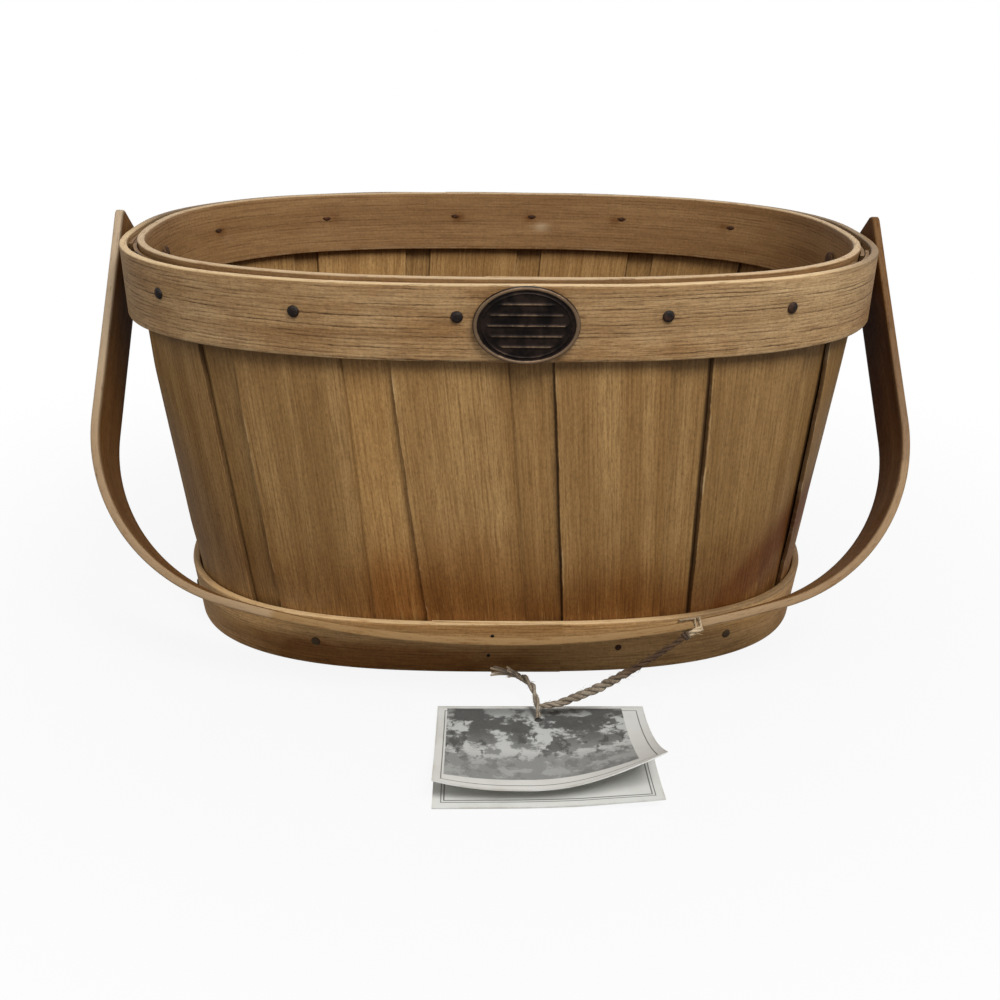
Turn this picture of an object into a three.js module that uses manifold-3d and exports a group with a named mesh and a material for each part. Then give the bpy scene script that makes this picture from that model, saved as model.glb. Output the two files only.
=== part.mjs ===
// An oval wooden storage basket: upright lapped staves stand round a base board and are nailed between
// bent hoops. A bentwood handle swings on two rivets, an oval plate sits on the rim, and a folded tag
// hangs from the handle on a twine. Millimetres, +Z up. The origin is on the floor under the middle of
// the basket, +X runs to the right along it, and the front faces -Y.
import * as THREE from "three";
import { mergeVertices } from "three/addons/utils/BufferGeometryUtils.js";
import Module from "manifold-3d";

const wasm = await Module();
wasm.setup();

// Oval of the rim, over the outer hoop, and of the foot, over the base hoop
const RIM_LENGTH = 356;
const RIM_WIDTH = 242;
const RIM_SQUARENESS = 2.56;
const BASE_LENGTH = 313;
const BASE_WIDTH = 216;
const BASE_SQUARENESS = 2.9;
const HEIGHT = 186;

// Hoops, each a bent strip whose tapered ends lap
const HOOP_THICKNESS = 3.2;
const RIM_HOOP_HEIGHT = 32;
const INNER_HOOP_HEIGHT = 32;
const INNER_HOOP_RISE = 1;
const BASE_HOOP_HEIGHT = 27;
const HOOP_LAP = 60;
const HOOP_TIP = 0.65;
const RIM_LAP_TURN = 0.47;
const INNER_LAP_TURN = -0.008;
const BASE_LAP_TURN = -0.035;

// Staves, in an outer and an inner layer that cover each other's gaps. Their widths and the places of the
// first ones, right of the front centre, are shares of their spacing. Each foot sits right of its head by
// the slant and strays a little from that by hand.
const STAVE_COUNT = 14;
const STAVE_THICKNESS = 1.6;
const OUTER_STAVE_SHARE = 0.72;
const INNER_STAVE_SHARE = 0.78;
const OUTER_START_SHARE = 0.273;
const INNER_START_SHARE = 0.779;
const STAVE_SLANT = 14;
const FOOT_STRAY = [2, -1, -3, 1, -2, 0, 2, -1, 2, -2, 0, -6, -7.5, 2.5];
const STAVE_DROP = 2;

const BASE_BOARD_THICKNESS = 19;

// Handle: a flat strip with straight arms, two bends and a long bow for the grip, which has a twist that
// lets its front edge hang
const HANDLE_WIDTH = 32;
const HANDLE_THICKNESS = 3.5;
const HANDLE_TIP = 17;
const HANDLE_TIP_RADIUS = 4;
const HANDLE_BEND_HEIGHT = 81.6;
const HANDLE_SPLAY = THREE.MathUtils.degToRad(0.8);
const HANDLE_BEND_RADIUS = 86;
const HANDLE_BOW_ANGLE = THREE.MathUtils.degToRad(16.1);
const HANDLE_GRIP_TWIST = THREE.MathUtils.degToRad(9.5);
const HANDLE_SWAY = 2.4;
const HANDLE_REST_GAP = 0.8;

// Pivot rivets and the spacers that hold the handle off the rim
const PIVOT_DROP = 14;
const RIVET_DIAMETER = 5;
const RIVET_HEAD_DIAMETER = 12;
const RIVET_HEAD_HEIGHT = 2.6;
const RIVET_BURR_DIAMETER = 9;
const RIVET_BURR_HEIGHT = 1.2;
const SPACER_DIAMETER = 16;
const SPACER_THICKNESS = 4;

// Clinched tacks of the rim and clout heads of the base hoop, placed by their share of the way round
const TACK_DIAMETER = 1.6;
const TACK_HEAD_DIAMETER = 5;
const TACK_HEAD_HEIGHT = 1;
const TACK_CLINCH_DIAMETER = 3.2;
const TACK_CLINCH_HEIGHT = 0.7;
const RIM_TACK_DROP = 13;
const RIM_TACK_TURNS = [-0.155, -0.086, -0.019, 0.067, 0.124, 0.354, 0.424, 0.479, 0.525, 0.604, 0.68];
const BASE_TACK_HEIGHT = 13;
const BASE_TACK_TURNS = [-0.2, -0.096, 0.062, 0.123, 0.21, 0.31, 0.4, 0.47, 0.56, 0.65, 0.73];

// Oval plate on the front of the rim
const PLATE_LENGTH = 43;
const PLATE_HEIGHT = 32;
const PLATE_THICKNESS = 2;
const PLATE_RIM = 1.6;
const PLATE_RECESS = 0.6;
const PLATE_X = 9;
const PLATE_DROP = 16;

// Twine round the handle, and the folded tag that lies on the floor in front of the basket
const TWINE_DIAMETER = 1.4;
const STRAND_DIAMETER = 3.4;
const TAIL_DIAMETER = 2;
const TWINE_X = 85.5;
const STRAND_ROUTE = [
  [86.2, -138.3, 42.1], [79.6, -140.2, 39.1], [73.4, -141.4, 34.9], [67, -142.6, 31], [60, -143.8, 26.6],
  [52.5, -145, 22.3], [45, -146, 18.2], [38, -146.8, 14.9], [31, -147.4, 12], [25, -147.8, 9.8],
  [17.4, -147, 7.7],
];
const TAIL_ROUTE = [
  [16.6, -149.4, 3.7], [16.3, -147.6, 6.2], [15.9, -144.8, 8.4], [15.4, -141.2, 9.8], [14.7, -137.4, 10.4],
  [13.5, -133.4, 10.4], [11.6, -129.4, 10], [9, -125.8, 9.4], [5.6, -122.6, 8.8], [1.4, -120.2, 8.2],
  [-3.4, -118.8, 7.8],
];
const TAG_LENGTH = 67;
const TAG_WIDTH = 91;
const TAG_THICKNESS = 0.5;
const TAG_FOLD_Y = -138.5;
const TAG_FOLD_RADIUS = 0.7;
const TAG_X = 18;
const TAG_LIFT = 7;

// Room between pieces that touch, and round the rivets and tacks
const CLEARANCE = 0.3;
const LAYER_GAP = 0.45;
const INSIDE_CLEARANCE = 0.6;
const RIVET_CLEARANCE = 0.3;

// Facets
const HOOP_STEPS = 108;
const STAVE_STEPS = 9;
const BEND_STEPS = 14;
const BOW_STEPS = 10;
const ROUND_STEPS = 20;
const OVAL_SAMPLES = 1440;

const wood = new THREE.MeshStandardMaterial({ color: 0xb98f5c, roughness: 0.62, metalness: 0 });
const darkWood = new THREE.MeshStandardMaterial({ color: 0x9c6f42, roughness: 0.65, metalness: 0 });
const steel = new THREE.MeshStandardMaterial({ color: 0x3a3632, roughness: 0.5, metalness: 0.8 });
const brass = new THREE.MeshStandardMaterial({ color: 0x4a3c2c, roughness: 0.45, metalness: 0.8 });
const jute = new THREE.MeshStandardMaterial({ color: 0xa58c68, roughness: 0.95, metalness: 0 });
const card = new THREE.MeshStandardMaterial({ color: 0xd2d0c8, roughness: 0.8, metalness: 0 });

// A superellipse, walked by the share of its length: 0 at the front centre, a quarter at the right end.
class Oval {
  constructor(halfLength, halfWidth, squareness) {
    const power = 2 / squareness;
    const swell = (value) => Math.sign(value) * Math.abs(value) ** power;
    this.points = [];
    this.lengths = [0];
    for (let i = 0; i <= OVAL_SAMPLES; i++) {
      const angle = (2 * Math.PI * i) / OVAL_SAMPLES - Math.PI / 2;
      this.points.push(
        new THREE.Vector2(halfLength * swell(Math.cos(angle)), halfWidth * swell(Math.sin(angle))),
      );
      if (i > 0) this.lengths.push(this.lengths[i - 1] + this.points[i].distanceTo(this.points[i - 1]));
    }
    this.girth = this.lengths[OVAL_SAMPLES];
  }

  at(turn) {
    const wanted = (turn - Math.floor(turn)) * this.girth;
    let low = 0;
    let high = OVAL_SAMPLES;
    while (high - low > 1) {
      const middle = (low + high) >> 1;
      if (this.lengths[middle] > wanted) high = middle;
      else low = middle;
    }
    const share = (wanted - this.lengths[low]) / (this.lengths[high] - this.lengths[low]);
    return this.points[low].clone().lerp(this.points[high], share);
  }
}

// The basket's wall as straight lines from a foot oval to a head oval, at a depth below the stave faces.
const STAVE_FACE = HOOP_THICKNESS + CLEARANCE;
const mix = THREE.MathUtils.lerp;

class Wall {
  constructor(depth) {
    const inset = STAVE_FACE + depth;
    this.foot = new Oval(BASE_LENGTH / 2 - inset, BASE_WIDTH / 2 - inset, BASE_SQUARENESS);
    this.head = new Oval(RIM_LENGTH / 2 - inset, RIM_WIDTH / 2 - inset, RIM_SQUARENESS);
  }

  at(turn, z, slant = 0) {
    const flat = this.foot.at(turn + slant).lerp(this.head.at(turn), z / HEIGHT);
    return new THREE.Vector3(flat.x, flat.y, z);
  }
}

const outerFace = new Wall(0);
const outerBack = new Wall(STAVE_THICKNESS);
const innerFace = new Wall(STAVE_THICKNESS + LAYER_GAP);
const innerBack = new Wall(2 * STAVE_THICKNESS + LAYER_GAP);
const boardEdge = new Wall(2 * STAVE_THICKNESS + LAYER_GAP + INSIDE_CLEARANCE);
const innerHoopBack = new Wall(2 * STAVE_THICKNESS + LAYER_GAP + INSIDE_CLEARANCE + HOOP_THICKNESS);
const baseHoopFace = new Wall(-STAVE_FACE);
const baseHoopBack = new Wall(-CLEARANCE);

// The outer rim hoop stands upright at the basket's ends and leans with the staves along its sides.
class RimHoopWall {
  constructor(depth) {
    this.top = new Oval(RIM_LENGTH / 2 - depth, RIM_WIDTH / 2 - depth, RIM_SQUARENESS);
    const lean = ((RIM_WIDTH - BASE_WIDTH) / 2) * (RIM_HOOP_HEIGHT / HEIGHT);
    this.bottom = new Oval(RIM_LENGTH / 2 - depth, RIM_WIDTH / 2 - lean - depth, RIM_SQUARENESS);
  }

  at(turn, z) {
    const flat = this.top.at(turn).lerp(this.bottom.at(turn), (HEIGHT - z) / RIM_HOOP_HEIGHT);
    return new THREE.Vector3(flat.x, flat.y, z);
  }
}

const rimHoopFace = new RimHoopWall(0);
const rimHoopBack = new RimHoopWall(HOOP_THICKNESS);

// The direction straight into the basket at a point of a wall
function inwardAt(wall, turn, z) {
  const along = wall.at(turn + 0.001, z).sub(wall.at(turn - 0.001, z));
  const up = wall.at(turn, z + 1).sub(wall.at(turn, z - 1));
  return up.cross(along).normalize();
}

// A closed solid through rings of points. An open row of rings is capped at both ends.
function loft(rings, closed = false) {
  const count = rings[0].length;
  const positions = rings.flat().flatMap((point) => [point.x, point.y, point.z]);
  const index = [];
  const spans = closed ? rings.length : rings.length - 1;
  for (let i = 0; i < spans; i++) {
    const next = (i + 1) % rings.length;
    for (let j = 0; j < count; j++) {
      const k = (j + 1) % count;
      const [a, b, c, d] = [i * count + j, i * count + k, next * count + k, next * count + j];
      index.push(a, b, c, a, c, d);
    }
  }
  if (!closed) {
    const last = (rings.length - 1) * count;
    for (let j = 1; j < count - 1; j++) {
      index.push(0, j + 1, j);
      index.push(last, last + j, last + j + 1);
    }
  }
  const geometry = new THREE.BufferGeometry();
  geometry.setAttribute("position", new THREE.Float32BufferAttribute(positions, 3));
  geometry.setIndex(index);
  return faceOutwards(geometry);
}

// Turns every face round if the solid came out inside out.
function faceOutwards(geometry) {
  const position = geometry.getAttribute("position");
  const corner = (i) => new THREE.Vector3().fromBufferAttribute(position, geometry.index.getX(i));
  let volume = 0;
  for (let i = 0; i < geometry.index.count; i += 3) {
    volume += corner(i).dot(corner(i + 1).cross(corner(i + 2)));
  }
  if (volume < 0) geometry.setIndex(Array.from(geometry.index.array).reverse());
  return geometry;
}

function toSolid(geometry) {
  const bare = geometry.clone();
  bare.deleteAttribute("normal");
  bare.deleteAttribute("uv");
  const merged = mergeVertices(bare, 1e-4);
  return new wasm.Manifold(
    new wasm.Mesh({
      numProp: 3,
      vertProperties: new Float32Array(merged.getAttribute("position").array),
      triVerts: new Uint32Array(merged.index.array),
    }),
  );
}

function toGeometry(solid) {
  const mesh = solid.getMesh();
  const geometry = new THREE.BufferGeometry();
  geometry.setAttribute("position", new THREE.BufferAttribute(mesh.vertProperties, 3));
  geometry.setIndex(new THREE.BufferAttribute(mesh.triVerts, 1));
  geometry.computeVertexNormals();
  return geometry;
}

// Solids with every cutter taken away, and with every lump added.
const cut = (geometry, cutters) =>
  toGeometry(cutters.reduce((solid, cutter) => solid.subtract(cutter), toSolid(geometry)));
const fuse = (geometry, lumps) =>
  toGeometry(lumps.reduce((solid, lump) => solid.add(toSolid(lump)), toSolid(geometry)));

// A turned piece or a drill along the line from one point to another, with its profile starting there.
function turned(profile, from, to, sides) {
  const points = profile.map(([radius, along]) => new THREE.Vector2(radius, along));
  const geometry = new THREE.LatheGeometry(points, sides);
  geometry.deleteAttribute("normal");
  geometry.deleteAttribute("uv");
  const direction = to.clone().sub(from).normalize();
  const turn = new THREE.Quaternion().setFromUnitVectors(new THREE.Vector3(0, 1, 0), direction);
  geometry.applyQuaternion(turn).translate(from.x, from.y, from.z);
  return faceOutwards(mergeVertices(geometry, 1e-4));
}

function drill(diameter, from, to, sides) {
  const length = from.distanceTo(to);
  const profile = [[0, 0], [diameter / 2, 0], [diameter / 2, length], [0, length]];
  return toSolid(turned(profile, from, to, sides));
}

const basket = new THREE.Group();

function addPiece(name, geometry, material, parent = basket) {
  const mesh = new THREE.Mesh(geometry, material);
  mesh.name = name;
  parent.add(mesh);
  return mesh;
}

const numbered = (name, i) => name + "_" + String(i + 1).padStart(2, "0");

// Lines of the rim tacks and pivot rivets, from the outer hoop's face to the inner hoop's back
const TACK_Z = HEIGHT - RIM_TACK_DROP;
const PIVOT_Z = HEIGHT - PIVOT_DROP;
const tackLines = RIM_TACK_TURNS.map((turn) => {
  const outside = rimHoopFace.at(turn, TACK_Z);
  const inward = inwardAt(rimHoopFace, turn, TACK_Z);
  const depth = innerHoopBack.at(turn, TACK_Z).sub(outside).dot(inward);
  return { outside, inside: outside.clone().addScaledVector(inward, depth), inward };
});
const PIVOT_REACH = RIM_LENGTH / 2 + 2 * CLEARANCE + SPACER_THICKNESS + HANDLE_THICKNESS;
const rivetHole = RIVET_DIAMETER + 2 * RIVET_CLEARANCE;
const tackHole = TACK_DIAMETER + 2 * CLEARANCE;
const rimCutters = [
  ...tackLines.map(({ outside, inside, inward }) =>
    drill(
      tackHole,
      outside.clone().addScaledVector(inward, -HOOP_THICKNESS),
      inside.clone().addScaledVector(inward, HOOP_THICKNESS),
      6,
    ),
  ),
  ...[-1, 1].map((side) =>
    drill(
      rivetHole,
      new THREE.Vector3(side * PIVOT_REACH, 0, PIVOT_Z),
      new THREE.Vector3(side * (RIM_LENGTH / 4), 0, PIVOT_Z),
      ROUND_STEPS,
    ),
  ),
];

// Base board, tapered like the wall that it fills
function makeBaseBoard() {
  const ring = (z) =>
    Array.from({ length: HOOP_STEPS }, (_, i) => boardEdge.at(i / HOOP_STEPS, z));
  addPiece("base_board", loft([ring(0), ring(BASE_BOARD_THICKNESS)]), darkWood);
}

// Staves: straight boards that curve round the wall, each wider at the rim than at the foot
function makeStaves(layer, face, back, share, start, stray) {
  const top = HEIGHT - STAVE_DROP;
  for (let i = 0; i < STAVE_COUNT; i++) {
    const left = (start + i) / STAVE_COUNT;
    const slant = (STAVE_SLANT + stray[i]) / face.head.girth;
    const rings = [];
    for (let step = 0; step <= STAVE_STEPS; step++) {
      const turn = left + (share * step) / STAVE_STEPS / STAVE_COUNT;
      rings.push([
        face.at(turn, 0, slant),
        face.at(turn, top, slant),
        back.at(turn, top, slant),
        back.at(turn, 0, slant),
      ]);
    }
    addPiece(numbered(layer, i), cut(loft(rings), rimCutters), wood);
  }
}

// A hoop goes once round and laps itself: its inner end thins towards the tip and the outer end over it.
function hoopStrip(face, back, girth, low, high, lapTurn) {
  const lap = HOOP_LAP / girth;
  const tip = HOOP_TIP / HOOP_THICKNESS;
  const lapGap = CLEARANCE / HOOP_THICKNESS / 2;
  const steps = HOOP_STEPS + Math.ceil(HOOP_STEPS * lap);
  const rings = [];
  for (let i = 0; i <= steps; i++) {
    const along = (i / steps) * (1 + lap);
    const turn = lapTurn + along;
    const slope = (share) => mix(tip, 1 - tip, share);
    const outer = along < lap ? 1 - slope(along / lap) + lapGap : 0;
    const inner = along > 1 ? 1 - slope((along - 1) / lap) - lapGap : 1;
    const edge = (depth, z) => face.at(turn, z).lerp(back.at(turn, z), depth);
    rings.push([edge(outer, low), edge(outer, high), edge(inner, high), edge(inner, low)]);
  }
  return loft(rings);
}

// Base tack heads, low domes on the base hoop's face
function baseTackHeads() {
  return BASE_TACK_TURNS.map((turn) => {
    const seat = baseHoopFace.at(turn, BASE_TACK_HEIGHT);
    const behind = baseHoopBack.at(turn, BASE_TACK_HEIGHT);
    const radius = TACK_HEAD_DIAMETER / 2;
    const sunk = HOOP_THICKNESS / 2;
    const root = seat.clone().lerp(behind, 0.5);
    const profile = [
      [0, 0], [radius, 0], [radius, sunk], [0.7 * radius, sunk + 0.8 * TACK_HEAD_HEIGHT],
      [0, sunk + TACK_HEAD_HEIGHT],
    ];
    return turned(profile, root, seat, 8);
  });
}

function makeHoops() {
  const foot = HEIGHT - RIM_HOOP_HEIGHT;
  const innerTop = HEIGHT + INNER_HOOP_RISE;
  const innerFoot = innerTop - INNER_HOOP_HEIGHT;
  const outer = hoopStrip(rimHoopFace, rimHoopBack, rimHoopFace.top.girth, foot, HEIGHT, RIM_LAP_TURN);
  const inner = hoopStrip(
    boardEdge, innerHoopBack, boardEdge.head.girth, innerFoot, innerTop, INNER_LAP_TURN,
  );
  const base = hoopStrip(
    baseHoopFace, baseHoopBack, baseHoopFace.foot.girth, 0, BASE_HOOP_HEIGHT, BASE_LAP_TURN,
  );
  addPiece("outer_rim_hoop", cut(outer, rimCutters), wood);
  addPiece("inner_rim_hoop", cut(inner, rimCutters), wood);
  addPiece("base_hoop", fuse(base, baseTackHeads()), wood);
}

// Rim tacks: a low domed head outside, a shank through hoops and staves, and a tip clinched inside
function makeRimTacks() {
  tackLines.forEach(({ outside, inside, inward }, i) => {
    const start = outside.clone().addScaledVector(inward, -CLEARANCE - TACK_HEAD_HEIGHT);
    const head = TACK_HEAD_DIAMETER / 2;
    const shank = TACK_DIAMETER / 2;
    const clinch = TACK_CLINCH_DIAMETER / 2;
    const clinchAt = TACK_HEAD_HEIGHT + outside.distanceTo(inside) + 2 * CLEARANCE;
    const profile = [
      [0, 0], [0.7 * head, 0.2 * TACK_HEAD_HEIGHT], [head, TACK_HEAD_HEIGHT], [shank, TACK_HEAD_HEIGHT],
      [shank, clinchAt], [clinch, clinchAt], [0.6 * clinch, clinchAt + TACK_CLINCH_HEIGHT],
      [0, clinchAt + TACK_CLINCH_HEIGHT],
    ];
    addPiece(numbered("rim_tack", i), turned(profile, start, inside, 8), steel);
  });
}

// Pivots: a domed rivet through spacer, hoops and staves, peened inside the inner hoop
function makePivots() {
  const handleOutside = PIVOT_REACH + CLEARANCE;
  const shank = RIVET_DIAMETER / 2;
  const head = RIVET_HEAD_DIAMETER / 2;
  const burr = RIVET_BURR_DIAMETER / 2;
  const innerHoopInside = innerHoopBack.at(0.25, PIVOT_Z - burr).x - CLEARANCE;
  const headAt = RIVET_HEAD_HEIGHT;
  const burrAt = headAt + handleOutside - innerHoopInside;
  const profile = [
    [0, 0], [0.45 * head, 0.12 * headAt], [0.8 * head, 0.45 * headAt], [head, headAt], [shank, headAt],
    [shank, burrAt], [burr, burrAt], [0.8 * burr, burrAt + RIVET_BURR_HEIGHT],
    [0, burrAt + RIVET_BURR_HEIGHT],
  ];
  const spacerRing = [
    [rivetHole / 2, 0], [SPACER_DIAMETER / 2, 0], [SPACER_DIAMETER / 2, SPACER_THICKNESS],
    [rivetHole / 2, SPACER_THICKNESS], [rivetHole / 2, 0],
  ];
  for (const [name, side] of [["left", -1], ["right", 1]]) {
    const middle = new THREE.Vector3(0, 0, PIVOT_Z);
    const tip = new THREE.Vector3(side * (handleOutside + RIVET_HEAD_HEIGHT), 0, PIVOT_Z);
    const seat = new THREE.Vector3(side * (RIM_LENGTH / 2 + CLEARANCE + SPACER_THICKNESS), 0, PIVOT_Z);
    addPiece(name + "_pivot_rivet", turned(profile, tip, middle, ROUND_STEPS), steel);
    addPiece(name + "_pivot_spacer", turned(spacerRing, seat, middle, ROUND_STEPS), darkWood);
  }
}

// Oval plate with a raised edge round a plain field, leaning with the front of the rim hoop
function makePlate() {
  const half = PLATE_LENGTH / 2;
  const points = [
    [0, 0], [half, 0], [half, PLATE_THICKNESS - 0.5], [half - 0.5, PLATE_THICKNESS],
    [half - PLATE_RIM, PLATE_THICKNESS], [half - PLATE_RIM - 0.4, PLATE_THICKNESS - PLATE_RECESS],
    [0, PLATE_THICKNESS - PLATE_RECESS],
  ].map(([radius, along]) => new THREE.Vector2(radius, along));
  const geometry = new THREE.LatheGeometry(points, 36);
  geometry.deleteAttribute("normal");
  geometry.deleteAttribute("uv");
  geometry.scale(1, 1, PLATE_HEIGHT / PLATE_LENGTH);
  const z = HEIGHT - PLATE_DROP;
  const turn = PLATE_X / rimHoopFace.top.girth;
  const seat = rimHoopFace.at(turn, z);
  const lean = Math.atan2(seat.y - rimHoopFace.at(turn, HEIGHT).y, PLATE_DROP);
  const mesh = addPiece("rim_plate", faceOutwards(mergeVertices(geometry, 1e-4)), brass);
  mesh.position.set(seat.x, seat.y - CLEARANCE, z);
  mesh.rotation.x = Math.PI + lean;
}

// The handle's centre line in its own plane, from the right tip over the grip to the left tip, with the
// grip swayed a little to the right. Its frame has the pivot axis along X, the arms down -Z and the
// strip's width along Y.
function handleLine() {
  const halfSpan = RIM_LENGTH / 2 + 2 * CLEARANCE + SPACER_THICKNESS + HANDLE_THICKNESS / 2;
  const right = [];
  const arm = new THREE.Vector2(Math.sin(HANDLE_SPLAY), -Math.cos(HANDLE_SPLAY));
  const pivot = new THREE.Vector2(halfSpan, 0);
  const station = (point, heading, fromTip) => right.push({ point, heading, fromTip });
  for (const share of [0, 0.07, 0.3, 1]) {
    const fromTip = share * HANDLE_TIP_RADIUS;
    station(pivot.clone().addScaledVector(arm, fromTip - HANDLE_TIP), HANDLE_SPLAY, fromTip);
  }
  const armEnd = pivot.clone().addScaledVector(arm, PIVOT_Z - HANDLE_BEND_HEIGHT);
  const bend = Math.PI / 2 + HANDLE_SPLAY - HANDLE_BOW_ANGLE;
  const bendCentre = armEnd.clone();
  bendCentre.x -= HANDLE_BEND_RADIUS * Math.cos(HANDLE_SPLAY);
  bendCentre.y -= HANDLE_BEND_RADIUS * Math.sin(HANDLE_SPLAY);
  const onArc = (centre, radius, heading) =>
    new THREE.Vector2(centre.x + radius * Math.cos(heading), centre.y + radius * Math.sin(heading));
  for (let i = 0; i <= BEND_STEPS; i++) {
    const heading = HANDLE_SPLAY - (bend * i) / BEND_STEPS;
    station(onArc(bendCentre, HANDLE_BEND_RADIUS, heading), heading, Infinity);
  }
  const bowStart = HANDLE_SPLAY - bend;
  const bowRadius = right.at(-1).point.x / Math.cos(bowStart);
  const bowCentre = new THREE.Vector2(0, right.at(-1).point.y - bowRadius * Math.sin(bowStart));
  for (let i = 1; i <= BOW_STEPS; i++) {
    const heading = mix(bowStart, -Math.PI / 2, i / BOW_STEPS);
    station(onArc(bowCentre, bowRadius, heading), heading, Infinity);
  }
  const left = right.slice(0, -1).reverse().map(({ point, heading, fromTip }) => ({
    point: new THREE.Vector2(-point.x, point.y),
    heading: -Math.PI - heading,
    fromTip,
  }));
  const depth = right.at(-1).point.y;
  return [...right, ...left].map(({ point, heading, fromTip }) => ({
    point: new THREE.Vector2(point.x + (HANDLE_SWAY * point.y) / depth, point.y),
    heading,
    fromTip,
  }));
}

// The strip's half width, with its corners rounded at the two tips
function handleHalfWidth(fromTip) {
  const radius = HANDLE_TIP_RADIUS;
  if (fromTip >= radius) return HANDLE_WIDTH / 2;
  return HANDLE_WIDTH / 2 - radius + Math.sqrt(radius ** 2 - (radius - fromTip) ** 2);
}

// The ways out of the bow and across the strip in its cross-section, square to the handle's plane at the
// arms and twisted at the grip
function stripAxes(heading) {
  const twist = HANDLE_GRIP_TWIST * Math.max(0, -Math.sin(heading)) ** 2;
  const away = new THREE.Vector3(Math.cos(heading), 0, Math.sin(heading));
  const flat = new THREE.Vector3(0, 1, 0);
  return {
    out: away.clone().multiplyScalar(Math.cos(twist)).addScaledVector(flat, Math.sin(twist)),
    across: flat.clone().multiplyScalar(Math.cos(twist)).addScaledVector(away, -Math.sin(twist)),
  };
}

function onStrip({ point, heading }, outBy, acrossBy) {
  const { out, across } = stripAxes(heading);
  const centre = new THREE.Vector3(point.x, 0, point.y);
  return centre.addScaledVector(out, outBy).addScaledVector(across, acrossBy);
}

// How far the handle's back edge stays in front of the base hoop when it leans forward by an angle
function gripClearance(line, lean) {
  return Math.min(
    ...line.map((station) => {
      const corner = onStrip(station, -HANDLE_THICKNESS / 2, HANDLE_WIDTH / 2);
      const y = corner.z * Math.sin(lean) + corner.y * Math.cos(lean);
      const z = PIVOT_Z + corner.z * Math.cos(lean) - corner.y * Math.sin(lean);
      const rise = z / HEIGHT;
      const halfLength = mix(BASE_LENGTH, RIM_LENGTH, rise) / 2;
      if (Math.abs(corner.x) >= halfLength) return Infinity;
      const halfWidth = mix(BASE_WIDTH, RIM_WIDTH, rise) / 2;
      const power = mix(BASE_SQUARENESS, RIM_SQUARENESS, rise);
      return -halfWidth * (1 - (Math.abs(corner.x) / halfLength) ** power) ** (1 / power) - y;
    }),
  );
}

// The lean at which the lowered handle comes to rest against the front of the base hoop
function restLean(line) {
  let low = 0;
  let high = Math.PI / 2;
  for (let i = 0; i < 40; i++) {
    const lean = (low + high) / 2;
    if (gripClearance(line, lean) < HANDLE_REST_GAP) low = lean;
    else high = lean;
  }
  return high;
}

// A turn of twine that hugs the handle's strip, in the strip's own cross-section
function twineLoop(line) {
  const near = line.reduce((best, next) =>
    Math.abs(next.point.x - TWINE_X) < Math.abs(best.point.x - TWINE_X) ? next : best,
  );
  const slope = (TWINE_X - near.point.x) / -Math.sin(near.heading);
  const along = new THREE.Vector3(-Math.sin(near.heading), 0, Math.cos(near.heading));
  const { out, across } = stripAxes(near.heading);
  const centre = new THREE.Vector3(near.point.x, 0, near.point.y).addScaledVector(along, slope);
  const radius = TWINE_DIAMETER / 2;
  const reach = CLEARANCE + radius;
  const corners = [[1, 1], [-1, 1], [-1, -1], [1, -1]];
  const rings = [];
  corners.forEach(([outSide, acrossSide], i) => {
    for (const share of [0, 0.5, 1]) {
      const angle = Math.PI / 4 + (i + share - 0.5) * (Math.PI / 2);
      const ray = out.clone().multiplyScalar(Math.cos(angle)).addScaledVector(across, Math.sin(angle));
      const middle = centre.clone()
        .addScaledVector(out, (outSide * HANDLE_THICKNESS) / 2)
        .addScaledVector(across, (acrossSide * HANDLE_WIDTH) / 2)
        .addScaledVector(ray, reach);
      rings.push(
        Array.from({ length: 8 }, (_, k) => {
          const swing = (k * Math.PI) / 4;
          return middle.clone()
            .addScaledVector(ray, radius * Math.cos(swing))
            .addScaledVector(along, radius * Math.sin(swing));
        }),
      );
    }
  });
  return loft(rings, true);
}

function makeHandle() {
  const line = handleLine();
  const skin = HANDLE_THICKNESS / 2;
  const rings = line.map((station) => {
    const half = handleHalfWidth(station.fromTip);
    const corners = [[skin, -half], [skin, half], [-skin, half], [-skin, -half]];
    return corners.map(([outBy, acrossBy]) => onStrip(station, outBy, acrossBy));
  });
  const reach = PIVOT_REACH + HANDLE_THICKNESS;
  const bore = drill(rivetHole, new THREE.Vector3(-reach, 0, 0), new THREE.Vector3(reach, 0, 0), ROUND_STEPS);
  const swing = new THREE.Group();
  swing.position.z = PIVOT_Z;
  swing.rotation.x = -restLean(line);
  basket.add(swing);
  addPiece("handle", cut(loft(rings), [bore]), wood, swing);
  addPiece("twine_loop", twineLoop(line), jute, swing);
}

// A round cord along hand-placed points
function cord(route, diameter, steps) {
  const path = new THREE.CatmullRomCurve3(route.map((point) => new THREE.Vector3(...point)));
  const section = new THREE.Shape();
  section.absarc(0, 0, diameter / 2, 0, 2 * Math.PI);
  return new THREE.ExtrudeGeometry(section, {
    steps,
    curveSegments: 8,
    bevelEnabled: false,
    extrudePath: path,
  });
}

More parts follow.
